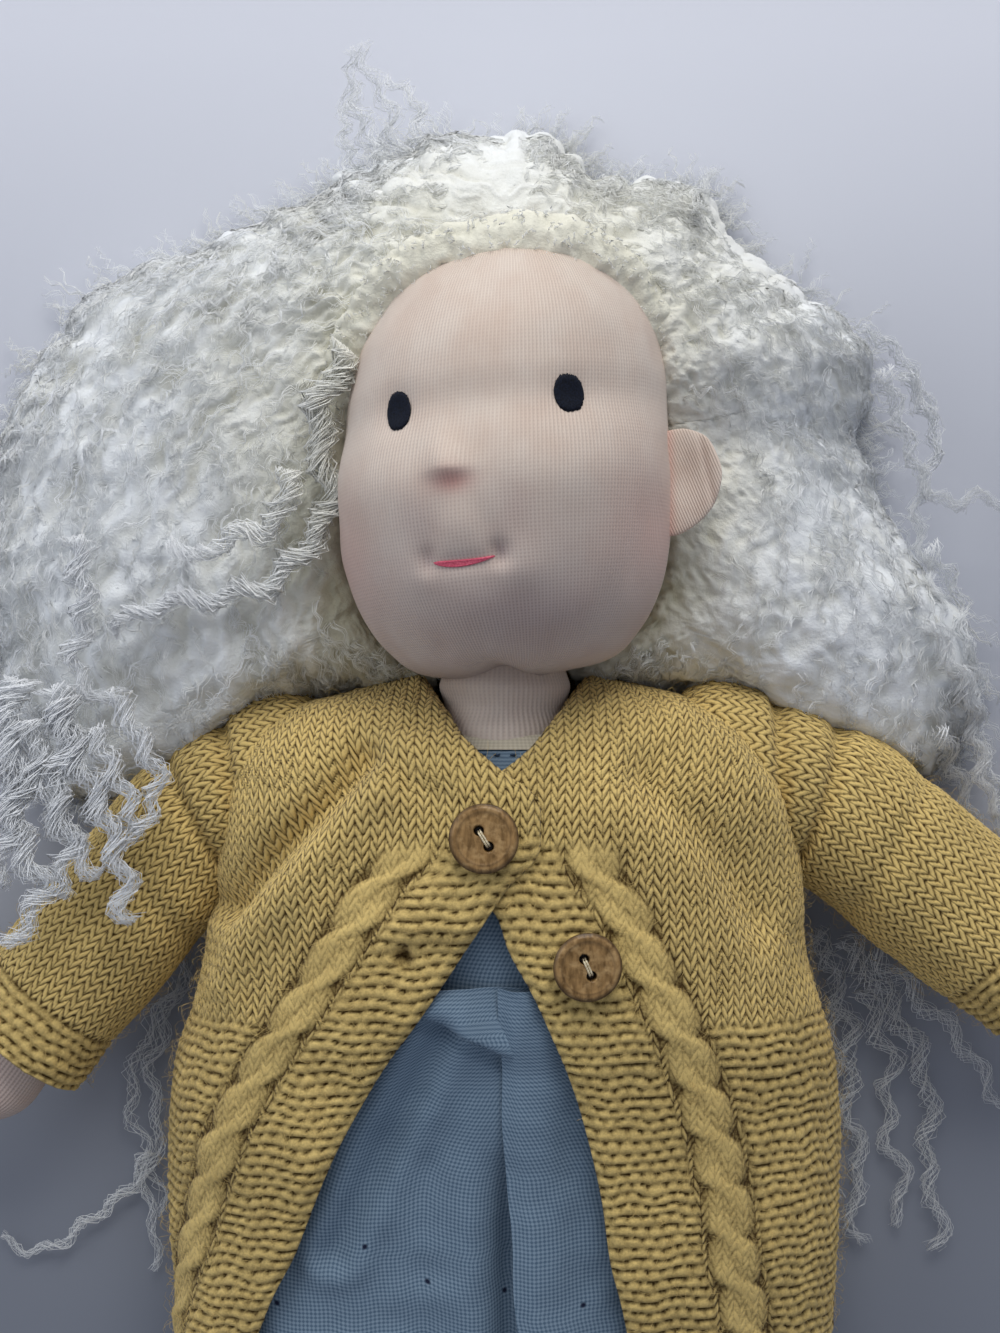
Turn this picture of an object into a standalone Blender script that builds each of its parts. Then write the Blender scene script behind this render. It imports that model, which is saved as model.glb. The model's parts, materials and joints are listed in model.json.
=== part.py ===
"""A soft stuffed doll lying on its back, modelled piece by piece.

Metres, +Z out of the doll's front, +Y towards its head, +X to its own left side.
The doll is worked out round its neck: Y = 0 is the middle of the neck, X = 0 its
centre line and Z = 0 the surface that it lies on. At the end everything is moved
so that the origin is under the middle of the whole.
"""

import math

import bmesh
import bpy
import numpy as np
from mathutils import Matrix, Vector

# Clearances and materials' thicknesses
GAP = 0.0003
HAIR_GAP = 0.0021
HUGE = 1.0
OVERRUN = 0.02
COTTON = 0.001
KNIT = 0.0022
TRICOT = 0.0012
HAIR_LAYER = 0.0052

# Head
HEAD_WIDTH = 0.072
HEAD_HEIGHT = 0.098
HEAD_FRONT = 0.042
HEAD_BACK = 0.040
HEAD_ROLL_DEG = 5.0
HEAD_YAW_DEG = -9.0
CHIN_RISE = 0.005
HEAD_Z = HEAD_BACK + HAIR_LAYER + 2 * TRICOT + 0.3 * HAIR_LAYER
NECK_RADIUS = 0.0138
NECK_Z = 0.040
NECK_UP = 0.017
EYE_THREAD_RADIUS = 0.0006
NECK_TIE_RADIUS = 0.0005
NECK_TIE_RISE = 0.0025

# Face
EYE_WIDTH = 0.0047
EYE_HEIGHT = 0.0082
EYE_THICK = 0.0009
EYE_ROUND = 14
EYE_SPACING = 0.0372
EYE_RISE = 0.0081
EYES_ASIDE = 0.0029
MOUTH_WIDTH = 0.0125
MOUTH_HEIGHT = 0.0018
MOUTH_SAG = 0.0008
MOUTH_RISE = -0.0247
MOUTH_ASIDE = -0.0031
EAR_OUT = 0.0125
EAR_HEIGHT = 0.0225
EAR_THICK = 0.005
EAR_RISE = -0.0085
EAR_DROP_DEG = 12.0

# Hair
HAIR_SIDE = 0.013
HAIR_TOP = 0.020
NAPE_RISE = 0.012
WAVE_HEIGHT = 0.0016
TUFT_LENGTH = 0.030
TUFT_RADIUS = 0.0062
TUFT_ASIDE_SHARE = 0.45
TUFT_BACK_SHARE = 0.35
TUFT_SWAY_SHARE = 0.12
TUFT_DROP_SHARE = 0.2
TUFT_ROOT_SHARE = 0.25

# Torso
TORSO_WIDTH = 0.080
TORSO_DEPTH = 0.054
TORSO_TOP = 0.004
TORSO_LENGTH = 0.081
TORSO_BACK_Z = HAIR_LAYER + KNIT + COTTON + 4 * GAP

# Arms
SHOULDER_X = 0.046
SHOULDER_DROP = 0.016
ARM_Z = 0.0255
ARM_RADIUS = 0.0125
ARM_LENGTH = 0.114
ARM_BEND_DEG = 30.0
ARM_BEND_FROM = 0.012
ARM_BEND_TO = 0.038
RIGHT_ARM_DROOP_DEG = 21.0
LEFT_ARM_DROOP_DEG = 6.0
ARM_RAISE_DEG = 40.0
ARM_LOWER_DEG = 10.0

# Legs
HIP_SPACING = 0.0372
HIP_DROP = 0.100
HIP_Z = 0.0216
LEG_RADIUS = 0.0168
LEG_LENGTH = 0.158
LEG_RAISE_DEG = 90.0
HEEL_TO_SOLE = 0.024

# Dress
BODICE_TOP = 0.0085
WAIST_DROP = 0.060
NECK_BINDING_HEIGHT = 0.0024
NECK_BINDING_LEAN = 1.6
SKIRT_LENGTH = 0.128
SKIRT_HALF_WIDTH = 0.071
SKIRT_WAIST_EASE = 0.0012
FOLD_DEPTH = 0.0022
FOLDS = 4

# Cardigan
CARDIGAN_TOP = 0.007
CARDIGAN_LENGTH = 0.155
YOKE_LENGTH = 0.05115
CARDIGAN_HALF_WIDTH = 0.078
CARDIGAN_EASE = 0.0035
CARDIGAN_BACK_INSET = 0.0035
CARDIGAN_DEPTH = TORSO_DEPTH + 2 * (COTTON + KNIT + GAP) + CARDIGAN_EASE
BAND_WIDTH = 0.0155
LAP = KNIT + GAP
SLEEVE_START = 0.014
SLEEVE_RADIUS = 0.0175
SLEEVE_END = 0.080
ARMHOLE_REACH = 0.062
CUFF_LENGTH = 0.014
CUFF_RADIUS = 0.0165
SLEEVE_SAG = SLEEVE_RADIUS - KNIT - ARM_RADIUS - 3 * GAP

# Buttons
BUTTON_RADIUS = 0.0073
BUTTON_THICK = 0.0024
BUTTON_HOLE_RADIUS = 0.0009
BUTTON_HOLE_SPACING = 0.0044
BUTTON_THREAD_RADIUS = 0.0005
BUTTON_TURN_DEG = -62.0
UPPER_BUTTON_X = -0.0035
UPPER_BUTTON_DROP = 0.0275
LOWER_BUTTON_X = 0.0170
LOWER_BUTTON_DROP = 0.0545
BUTTON_SHARES = (
    (0.86, 0.0), (1.0, 0.26), (1.0, 0.62), (0.92, 0.95), (0.80, 0.98), (0.66, 0.80),
)
BUTTON_FLOOR_SHARE = 0.72
BUTTONHOLE_LENGTH = 0.0042
BUTTONHOLE_WIDTH = 0.0016
BUTTONHOLE_DROP = 0.0560

# Mesh fineness
ROUND = 18
HEAD_ROUND = 24
INNER_HEAD_ROUND = 16
ROOM_ROUND = 12

# Head, from chin to crown: height, half width, front and back depth
HEAD_SHARES = (
    (0.00, 0.00, 0.00, 0.00),
    (0.03, 0.48, 0.42, 0.38),
    (0.09, 0.71, 0.64, 0.56),
    (0.18, 0.88, 0.83, 0.75),
    (0.28, 0.975, 0.94, 0.87),
    (0.40, 1.00, 1.00, 0.96),
    (0.50, 0.985, 0.985, 0.99),
    (0.58, 0.96, 0.945, 1.00),
    (0.66, 0.95, 0.955, 0.99),
    (0.76, 0.87, 0.89, 0.92),
    (0.86, 0.70, 0.73, 0.76),
    (0.94, 0.47, 0.49, 0.50),
    (0.985, 0.23, 0.24, 0.25),
    (1.00, 0.00, 0.00, 0.00),
)
EYE_LINE_SHARE = 0.58

# Torso, from neck to seat: along, half width, lowest and highest point
TORSO_SHARES = (
    (0.00, 0.36, 0.30, 0.78),
    (0.06, 0.62, 0.18, 0.86),
    (0.15, 0.88, 0.08, 0.94),
    (0.28, 0.99, 0.01, 0.99),
    (0.48, 0.98, 0.00, 1.00),
    (0.68, 0.90, 0.00, 0.95),
    (0.86, 0.95, 0.00, 0.90),
    (1.00, 0.96, 0.03, 0.81),
)
TORSO_MID_SHARE = 0.46
TRUNK_POWER = 2.2

# Cardigan, from neckline to hem: along, half width, lift of the back, height
CARDIGAN_SHARES = (
    (0.00, 0.27, 4.10, 0.51),
    (0.03, 0.47, 3.00, 0.66),
    (0.055, 0.63, 2.10, 0.78),
    (0.10, 0.75, 1.25, 0.90),
    (0.18, 0.82, 1.00, 0.98),
    (0.32, 0.86, 1.00, 1.00),
    (0.42, 0.88, 1.00, 0.99),
    (0.50, 0.93, 0.75, 0.99),
    (0.58, 0.98, 0.25, 0.97),
    (0.70, 1.00, 0.00, 0.93),
    (0.85, 1.00, 0.00, 0.86),
    (1.00, 1.00, 0.00, 0.78),
)
CARDIGAN_MID_SHARE = 0.33
YOKE_SHARE = 0.33
CARDIGAN_POWER = 2.3

# Front edges of the cardigan: along, sideways from the centre line
RIGHT_EDGE_SHARES = (
    (0.00, -0.235), (0.05, -0.155), (0.10, -0.09), (0.135, -0.01), (0.17, 0.085),
    (0.25, 0.085), (0.29, 0.01), (0.33, -0.045), (0.40, -0.135), (0.48, -0.24),
    (0.57, -0.36), (0.66, -0.46), (0.74, -0.53), (0.83, -0.60), (0.90, -0.67),
    (1.00, -0.75),
)
LEFT_EDGE_SHARES = (
    (0.00, 0.235), (0.05, 0.145), (0.09, 0.08), (0.12, 0.02), (0.15, -0.06),
    (0.19, -0.11), (0.27, -0.11), (0.33, -0.025), (0.38, 0.01), (0.44, 0.075),
    (0.50, 0.128), (0.58, 0.19), (0.66, 0.235), (0.74, 0.27), (0.83, 0.295),
    (0.90, 0.33), (1.00, 0.37),
)
SIDE_SEAM_SHARE = 0.9985
BAND_LIMIT_SHARE = 0.9
SHOULDER_CROWDING = 1.35
LAP_FROM_SHARE = 0.105
LAP_TO_SHARE = 0.345
LAP_FADE_SHARE = 0.035

# Skirt, from waist to hem: along, flare from the torso's width to its own, height
SKIRT_SHARES = (
    (0.00, 0.00, 0.985),
    (0.07, 0.26, 0.965),
    (0.18, 0.60, 0.93),
    (0.35, 0.80, 0.85),
    (0.60, 0.90, 0.75),
    (1.00, 1.00, 0.64),
)

SKIRT_MID_SHARE = 0.42

# Round end of a limb, from its far point to the joint: back from the joint
DOME_SHARES = (0.985, 0.90, 0.72, 0.45)
ARM_CAP_SHARE = 0.35
LEG_CAP_SHARE = 0.4

# Arm radii along its length, in the plane of the arm and out of it
ARM_SHARES = (
    (0.11, 1.00, 1.00),
    (0.30, 0.98, 0.98),
    (0.55, 0.90, 0.90),
    (0.74, 0.78, 0.78),
    (0.82, 0.86, 0.72),
    (0.91, 0.90, 0.66),
    (0.97, 0.62, 0.48),
    (0.995, 0.26, 0.22),
)

# Leg: along, rise of the centre line, half width and half thickness
LEG_SHARES = (
    (0.05, 0.00, 1.00, 1.00),
    (0.30, 0.00, 0.97, 0.96),
    (0.58, -0.03, 0.83, 0.83),
    (0.80, -0.28, 0.69, 0.69),
    (0.90, -0.41, 0.66, 0.66),
    (0.962, -0.31, 0.68, 0.64),
    (0.995, 0.14, 0.70, 0.58),
    (1.008, 0.66, 0.70, 0.52),
    (1.012, 1.15, 0.66, 0.46),
    (1.014, 1.48, 0.42, 0.30),
)

# Hairline on the head's side, from nape over the ear to the forehead: up, forward
HAIRLINE_SHARES = (
    (-1.30, -0.34), (-0.42, -0.10), (0.20, 0.05), (0.56, 0.24), (0.80, 0.52),
    (0.92, 0.86), (0.97, 1.60),
)
HAIRLINE_SIZE = 0.046

# Falls of hair seen from above: along, outer edge, inner edge, height
FALL_POWER = 2.3
RIPPLE_SHARES = ((0.030, 15.0), (0.018, 31.0))
FALL_WAVE_SHARE = 0.06
FALL_WAVES = 3.75
FALL_WAVE_LEAN = 1.4
FALL_LENGTH = 0.172
RIGHT_FALL_REACH = 0.132
RIGHT_FALL_HEIGHT = 0.052
RIGHT_FALL_TOP = 0.106
RIGHT_FALL_SHARES = (
    (0.00, 0.58, 0.34, 0.30),
    (0.05, 0.72, 0.24, 0.58),
    (0.12, 0.87, 0.235, 0.80),
    (0.25, 0.96, 0.235, 0.96),
    (0.42, 0.99, 0.235, 1.00),
    (0.58, 1.00, 0.235, 0.90),
    (0.72, 0.99, 0.34, 0.72),
    (0.84, 0.95, 0.50, 0.50),
    (0.94, 0.88, 0.62, 0.30),
    (1.00, 0.82, 0.70, 0.16),
)
LEFT_FALL_LENGTH = 0.252
LEFT_FALL_REACH = 0.122
LEFT_FALL_HEIGHT = 0.050
LEFT_FALL_TOP = 0.118
LEFT_FALL_SHARES = (
    (0.00, 0.44, 0.27, 0.30),
    (0.04, 0.58, 0.255, 0.55),
    (0.10, 0.74, 0.255, 0.80),
    (0.20, 0.88, 0.255, 0.97),
    (0.32, 0.93, 0.255, 1.00),
    (0.44, 0.98, 0.26, 0.86),
    (0.56, 1.00, 0.36, 0.62),
    (0.70, 1.00, 0.45, 0.40),
    (0.82, 0.93, 0.55, 0.26),
    (0.92, 0.86, 0.62, 0.18),
    (1.00, 0.78, 0.68, 0.12),
)
BACK_FALL_TOP = 0.098
BACK_FALL_END_SHARE = 0.36
BACK_FALL_LENGTH = BACK_FALL_TOP - CARDIGAN_TOP + BACK_FALL_END_SHARE * CARDIGAN_LENGTH
BACK_FALL_HALF_WIDTH = 0.0305
BACK_FALL_EDGE_SHARE = 0.12
BACK_FALL_SHARES = (
    (0.00, 0.62), (0.06, 0.86), (0.16, 0.97), (0.50, 0.98), (0.80, 0.94), (1.00, 0.80),
)

FINISHES = {}


def finish(name, colour, roughness=0.9):
    """A plain Principled material, made once for each name."""
    if name not in FINISHES:
        made = bpy.data.materials.new(name)
        made.use_nodes = True
        shader = made.node_tree.nodes["Principled BSDF"]
        shader.inputs["Base Color"].default_value = (*colour, 1.0)
        shader.inputs["Roughness"].default_value = roughness
        shader.inputs["Metallic"].default_value = 0.0
        FINISHES[name] = made
    return FINISHES[name]


def skin():
    return finish("skin_tricot", (0.78, 0.62, 0.52))


def ochre():
    return finish("ochre_wool", (0.62, 0.42, 0.16))


def blue():
    return finish("blue_cotton", (0.17, 0.27, 0.37))


def mohair():
    return finish("white_mohair", (0.80, 0.80, 0.76))


def clear_scene():
    for old in list(bpy.data.objects):
        bpy.data.objects.remove(old, do_unlink=True)


def smooth_rows(rows, steps):
    """The rows of a table with steps pieces in each interval, on a Catmull-Rom curve."""
    rows = np.array(rows, float)
    padded = np.vstack([2 * rows[0] - rows[1], rows, 2 * rows[-1] - rows[-2]])
    t = (np.arange(steps) / steps)[:, None]
    made = []
    for a, b, c, d in zip(padded[:-3], padded[1:-2], padded[2:-1], padded[3:]):
        made.append(0.5 * (2 * b + (c - a) * t + (2 * a - 5 * b + 4 * c - d) * t**2
                           + (3 * b - a - 3 * c + d) * t**3))
    made.append(rows[-1:])
    return np.vstack(made)


def read_row(rows, along):
    """The table's columns at a place along it, on straight lines between its rows."""
    return np.array([np.interp(along, rows[:, 0], rows[:, k]) for k in range(1, rows.shape[1])])


def signed_power(values, power):
    return np.sign(values) * np.abs(values) ** (2 / power)


def ring(centre, side, up, half, top, bottom, count=ROUND, power=2.0):
    """A closed ring of points round centre: a superellipse with its own top and bottom."""
    angles = 2 * np.pi * np.arange(count) / count
    across = signed_power(np.cos(angles), power) * half
    rise = signed_power(np.sin(angles), power)
    rise = rise * np.where(rise > 0, top, bottom)
    return centre + across[:, None] * side + rise[:, None] * up


def piece(name, points, faces, material, smooth=True):
    """A mesh object from points and faces, with its faces turned outwards."""
    mesh = bpy.data.meshes.new(name)
    mesh.from_pydata([tuple(p) for p in points], [], faces)
    shape = bmesh.new()
    shape.from_mesh(mesh)
    bmesh.ops.recalc_face_normals(shape, faces=shape.faces)
    shape.to_mesh(mesh)
    shape.free()
    made = bpy.data.objects.new(name, mesh)
    bpy.context.scene.collection.objects.link(made)
    mesh.materials.append(material)
    if smooth:
        mesh.shade_smooth()
    return made


def grid_faces(rows, columns, wrap, start=0):
    reach = columns if wrap else columns - 1
    return [
        (start + i * columns + j, start + i * columns + (j + 1) % columns,
         start + (i + 1) * columns + (j + 1) % columns, start + (i + 1) * columns + j)
        for i in range(rows - 1) for j in range(reach)
    ]


def loft(name, rings, material, poles=(None, None)):
    """A closed solid through rings of equal count, closed at each end round a pole."""
    rings = np.array(rings)
    rows, columns = rings.shape[:2]
    first = rings[0].mean(axis=0) if poles[0] is None else np.array(poles[0])
    last = rings[-1].mean(axis=0) if poles[1] is None else np.array(poles[1])
    points = np.vstack([rings.reshape(-1, 3), first, last])
    faces = grid_faces(rows, columns, True)
    start, end = rows * columns, rows * columns + 1
    tail = (rows - 1) * columns
    faces += [(start, j, (j + 1) % columns) for j in range(columns)]
    faces += [(end, tail + j, tail + (j + 1) % columns) for j in range(columns)]
    return piece(name, points, faces, material)


def thick_sheet(name, outer, inner, material, wrap=False):
    """A closed solid between two grids of points, with walls along its free edges."""
    rows, columns = outer.shape[:2]
    points = np.vstack([outer.reshape(-1, 3), inner.reshape(-1, 3)])
    other = rows * columns
    faces = grid_faces(rows, columns, wrap) + grid_faces(rows, columns, wrap, other)
    reach = columns if wrap else columns - 1
    for i in (0, rows - 1):
        for j in range(reach):
            a, b = i * columns + j, i * columns + (j + 1) % columns
            faces.append((a, b, other + b, other + a))
    if not wrap:
        for j in (0, columns - 1):
            for i in range(rows - 1):
                a, b = i * columns + j, (i + 1) * columns + j
                faces.append((a, b, other + b, other + a))
    return piece(name, points, faces, material)


def as_cutter(made):
    made.hide_render = True
    made.display_type = "WIRE"
    return made


def box_cutter(name, low, high):
    corners = [(x, y, z) for x in (low[0], high[0]) for y in (low[1], high[1])
               for z in (low[2], high[2])]
    faces = [(0, 1, 3, 2), (4, 6, 7, 5), (0, 4, 5, 1), (2, 3, 7, 6), (0, 2, 6, 4), (1, 5, 7, 3)]
    return as_cutter(piece(name, corners, faces, skin(), smooth=False))


def hull_cutter(name, points):
    """The convex hull of points, as a cutter."""
    shape = bmesh.new()
    for point in points:
        shape.verts.new(Vector(point))
    found = bmesh.ops.convex_hull(shape, input=shape.verts)
    spare = {e for e in found["geom_interior"] + found["geom_unused"]
             if isinstance(e, bmesh.types.BMVert)}
    bmesh.ops.delete(shape, geom=list(spare), context="VERTS")
    bmesh.ops.recalc_face_normals(shape, faces=shape.faces)
    mesh = bpy.data.meshes.new(name)
    shape.to_mesh(mesh)
    shape.free()
    made = bpy.data.objects.new(name, mesh)
    bpy.context.scene.collection.objects.link(made)
    return as_cutter(made)


def cut(made, *cutters, solver="EXACT"):
    """Takes cutters away from a piece. The falls of hair need the other solver."""
    for cutter in cutters:
        step = made.modifiers.new("cut_by_" + cutter.name, "BOOLEAN")
        step.object = cutter
        step.solver = solver
    return made


def turned(points, matrix):
    points = np.asarray(points, float)
    m = np.array(matrix)
    return points @ m[:3, :3].T + m[:3, 3]


# The head's own frame has its origin at the head's centre, +Y up and +Z forward.
def head_pose():
    """From the head's own frame to the doll's: rolled about its centre, turned on the neck."""
    roll = Matrix.Rotation(math.radians(HEAD_ROLL_DEG), 4, "Z")
    place = Matrix.Translation((0, CHIN_RISE + HEAD_HEIGHT / 2, HEAD_Z))
    neck = Matrix.Translation((0, 0, NECK_Z))
    yaw = Matrix.Rotation(math.radians(HEAD_YAW_DEG), 4, "Y")
    return neck @ yaw @ neck.inverted() @ place @ roll


def head_rings(grow, grow_top=None, count=HEAD_ROUND):
    """Rings of the head grown on all sides, without its two poles, and the poles."""
    grow_top = grow if grow_top is None else grow_top
    rows = np.array(HEAD_SHARES)[1:-1]
    height = HEAD_HEIGHT + grow + grow_top
    foot = -HEAD_HEIGHT / 2 - grow
    rings = []
    for along, wide, front, back in rows:
        centre = np.array([0.0, foot + along * height, 0.0])
        rings.append(ring(centre, np.array([1.0, 0, 0]), np.array([0, 0, 1.0]),
                          wide * (HEAD_WIDTH / 2 + grow), front * (HEAD_FRONT + grow),
                          back * (HEAD_BACK + grow), count))
    return np.array(rings), (0, foot, 0), (0, foot + height, 0)


def head_solid(name, grow, material, count=HEAD_ROUND):
    rings, foot, crown = head_rings(grow, count=count)
    pose = head_pose()
    return loft(name, turned(rings.reshape(-1, 3), pose).reshape(rings.shape), material,
                (turned([foot], pose)[0], turned([crown], pose)[0]))


def on_face(x, y, lift):
    """Points on the front of the head, in its own frame, standing lift off its skin."""
    rows = np.array(HEAD_SHARES)
    along = (np.asarray(y) + HEAD_HEIGHT / 2) / HEAD_HEIGHT
    wide, front, _ = read_row(rows, along)
    z = front * (HEAD_FRONT + lift) * np.sqrt(1 - (x / (wide * (HEAD_WIDTH / 2 + lift))) ** 2)
    return np.stack([x, y, z], axis=-1)


def embroidered(name, outline, centre, thickness, material):
    """A thin pad of stitches that follows the face, from its outline in the face's plane."""
    rings = np.linspace(1, 0.5, 2)[:, None, None] * outline[None]
    x, y = centre[0] + rings[..., 0], centre[1] + rings[..., 1]
    pose = head_pose()
    sheets = []
    for lift in (GAP + thickness, GAP):
        grid = turned(on_face(x, y, lift).reshape(-1, 3), pose).reshape(*x.shape, 3)
        middle = turned(on_face(np.array([centre[0]]), np.array([centre[1]]), lift), pose)
        sheets.append((grid, middle[0]))
    (top, top_mid), (low, low_mid) = sheets
    stack = np.vstack([top[::-1], low])
    return loft(name, stack, material, (top_mid, low_mid))


def eyes_and_mouth():
    angles = 2 * np.pi * np.arange(EYE_ROUND) / EYE_ROUND
    oval = np.stack([EYE_WIDTH / 2 * np.cos(angles), EYE_HEIGHT / 2 * np.sin(angles)], axis=1)
    thread = finish("navy_thread", (0.006, 0.012, 0.025))
    made = []
    for name, side in (("left_eye", 1), ("right_eye", -1)):
        centre = (EYES_ASIDE + side * EYE_SPACING / 2, EYE_RISE)
        made.append(embroidered(name, oval, centre, EYE_THICK, thread))
    bow = np.stack([MOUTH_WIDTH / 2 * np.cos(angles),
                    MOUTH_HEIGHT / 2 * np.sin(angles) - MOUTH_SAG * np.sin(angles / 2) ** 2
                    * (1 - np.cos(angles) ** 2)], axis=1)
    pink = finish("pink_thread", (0.62, 0.07, 0.13))
    made.append(embroidered("mouth", bow, (MOUTH_ASIDE, MOUTH_RISE), EYE_THICK, pink))
    return made


def ear_solid(name, side, grow):
    """A flattened rounded flap that stands out of the head's side."""
    rings = []
    for share in np.cos(np.pi * np.arange(1, 8) / 8):
        girth = math.sqrt(1 - share**2)
        centre = np.array([0, share * (EAR_HEIGHT / 2 + grow), 0])
        rings.append(ring(centre, np.array([1.0, 0, 0]), np.array([0, 0, 1.0]),
                          girth * (EAR_OUT + grow), girth * (EAR_THICK / 2 + grow),
                          girth * (EAR_THICK / 2 + grow), count=14))
    tip = EAR_HEIGHT / 2 + grow
    tilt = Matrix.Rotation(math.radians(-side * EAR_DROP_DEG), 4, "Z")
    pose = head_pose() @ Matrix.Translation((side * HEAD_WIDTH / 2, EAR_RISE, 0)) @ tilt
    shape = np.array(rings)
    return loft(name, turned(shape.reshape(-1, 3), pose).reshape(shape.shape), skin(),
                (turned([(0, tip, 0)], pose)[0], turned([(0, -tip, 0)], pose)[0]))


def ears(head_outside):
    return [cut(ear_solid("left_ear", 1, 0.0), head_outside),
            cut(ear_solid("right_ear", -1, 0.0), head_outside)]


def neck_cylinder(name, radius, low, high, material):
    side, up = np.array([1.0, 0, 0]), np.array([0, 0, 1.0])
    rings = [ring(np.array([0, y, NECK_Z]), side, up, radius, radius, radius)
             for y in np.linspace(low, high, 3)]
    return loft(name, rings, material)


def eye_line_ring(name, grow, thread_radius, material):
    """A thread ring round the inner head at the height of the eyes."""
    wide, front, back = read_row(np.array(HEAD_SHARES), EYE_LINE_SHARE)
    y = -HEAD_HEIGHT / 2 + EYE_LINE_SHARE * HEAD_HEIGHT
    up, side = np.array([0, 0, 1.0]), np.array([1.0, 0, 0])
    inside = ring(np.array([0, y, 0]), side, up, wide * HEAD_WIDTH / 2 + grow,
                  front * HEAD_FRONT + grow, back * HEAD_BACK + grow, INNER_HEAD_ROUND)
    centre = np.array([0, y, 0])
    rings = []
    for angle in 2 * np.pi * np.arange(4) / 4:
        outward = (inside - centre) / np.linalg.norm(inside - centre, axis=1)[:, None]
        rings.append(inside + thread_radius * math.cos(angle) * outward
                     + thread_radius * math.sin(angle) * np.array([0, 1.0, 0]))
    points = turned(np.array(rings).reshape(-1, 3), head_pose())
    rows_count, columns = len(rings), INNER_HEAD_ROUND
    faces = grid_faces(rows_count, columns, True)
    last = (rows_count - 1) * columns
    faces += [(last + j, last + (j + 1) % columns, (j + 1) % columns, j) for j in range(columns)]
    return piece(name, points, faces, material)


def inner_head():
    """The wound wool ball inside the skin, drawn in along the eye line by a thread."""
    wool = finish("wool_stuffing", (0.75, 0.70, 0.60))
    core = head_solid("inner_head", -TRICOT - GAP, wool, INNER_HEAD_ROUND)
    socket = as_cutter(neck_cylinder("neck_socket", NECK_RADIUS + GAP, -OVERRUN,
                                     NECK_UP + GAP, wool))
    inset = -TRICOT - GAP - EYE_THREAD_RADIUS
    groove = as_cutter(eye_line_ring("eye_line_groove", inset, EYE_THREAD_RADIUS + 2 * GAP, wool))
    thread = eye_line_ring("eye_line_thread", inset, EYE_THREAD_RADIUS,
                           finish("white_thread", (0.8, 0.8, 0.78)))
    cut(core, groove, socket)
    return [core, thread], socket


def head_skin(socket):
    """The knitted skin, a shell open at the neck."""
    shell = head_solid("head_skin", 0.0, skin())
    inside = as_cutter(head_solid("head_skin_inside", -TRICOT, skin(), INNER_HEAD_ROUND))
    return cut(shell, inside, socket)


def face_cutter():
    """All that lies in front of the hairline, as a prism across the head."""
    line = HAIRLINE_SIZE * np.array(HAIRLINE_SHARES)
    far = HEAD_FRONT + HAIR_TOP + OVERRUN
    outline = [(y, z) for y, z in line] + [(line[-1][0], far), (line[0][0], far)]
    half = HEAD_WIDTH / 2 + HAIR_SIDE + OVERRUN
    points = [(x, y, z) for x in (-half, half) for y, z in outline]
    count = len(outline)
    faces = [tuple(range(count)), tuple(range(2 * count - 1, count - 1, -1))]
    faces += [(j, (j + 1) % count, count + (j + 1) % count, count + j) for j in range(count)]
    return as_cutter(piece("face_opening", turned(points, head_pose()), faces, skin(), False))


def wavy(points, height):
    """Points moved along their own direction from the head by soft crossing waves."""
    centre = turned([(0, 0, 0)], head_pose())[0]
    away = points - centre
    distance = np.linalg.norm(away, axis=-1, keepdims=True)
    around = np.arctan2(away[..., 0], away[..., 1])
    depth = np.arctan2(away[..., 2], np.hypot(away[..., 0], away[..., 1]))
    wave = np.sin(9 * around + 2 * np.sin(5 * depth)) + 0.5 * np.sin(17 * around - 4 * depth)
    return points + away / distance * (height * wave)[..., None]


def hair_crown_solid(name, grow, material):
    rings, foot, crown = head_rings(HAIR_SIDE + grow, HAIR_TOP + grow)
    pose = head_pose()
    shape = wavy(turned(rings.reshape(-1, 3), pose), WAVE_HEIGHT).reshape(rings.shape)
    return loft(name, shape, material,
                (turned([foot], pose)[0], turned([crown], pose)[0]))


def wig(face, nape, table, socket):
    """The cap that the hair is sewn to, and the hair over the head."""
    cap = head_solid("wig_cap", GAP + TRICOT, finish("cap_knit", (0.70, 0.66, 0.58)))
    under_cap = as_cutter(head_solid("under_cap", GAP, mohair()))
    ear_room = [as_cutter(ear_solid("left_ear_room", 1, GAP)),
                as_cutter(ear_solid("right_ear_room", -1, GAP))]
    cut(cap, under_cap, face, nape, socket, *ear_room)
    hair = hair_crown_solid("hair_crown", 0.0, mohair())
    over_cap = as_cutter(head_solid("over_cap", 2 * GAP + TRICOT, mohair()))
    cut(hair, over_cap, face, nape, table, socket, *ear_room)
    return [cap, hair]


def tube(name, path, radii, material, count=8):
    """A round tapering tube along a path of points, with closed ends."""
    path = np.asarray(path, float)
    along = np.gradient(path, axis=0)
    along /= np.linalg.norm(along, axis=1)[:, None]
    side = np.cross(along, np.array([0.0, 0.0, 1.0]))
    side[np.linalg.norm(side, axis=1) < GAP] = (1.0, 0, 0)
    side /= np.linalg.norm(side, axis=1)[:, None]
    up = np.cross(side, along)
    rings = [ring(p, s, u, r, r, r, count) for p, s, u, r in zip(path, side, up, radii)]
    return loft(name, rings, material)


def crown_tuft(name, grow):
    """A tuft that stands past the crown."""
    root = (-HEAD_WIDTH * TUFT_ASIDE_SHARE, HEAD_HEIGHT / 2, -HEAD_BACK * TUFT_BACK_SHARE)
    start = turned([root], head_pose())[0]
    t = np.linspace(0, 1, 9)
    sway = TUFT_SWAY_SHARE * TUFT_LENGTH * np.sin(2.6 * np.pi * t)
    rise = TUFT_LENGTH * (t - TUFT_ROOT_SHARE * (1 - t))
    path = np.stack([start[0] + sway, start[1] + rise,
                     start[2] - TUFT_DROP_SHARE * TUFT_LENGTH * t], axis=1)
    return tube(name, path, TUFT_RADIUS * (1.05 - 0.85 * t) + grow, mohair())


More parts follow.
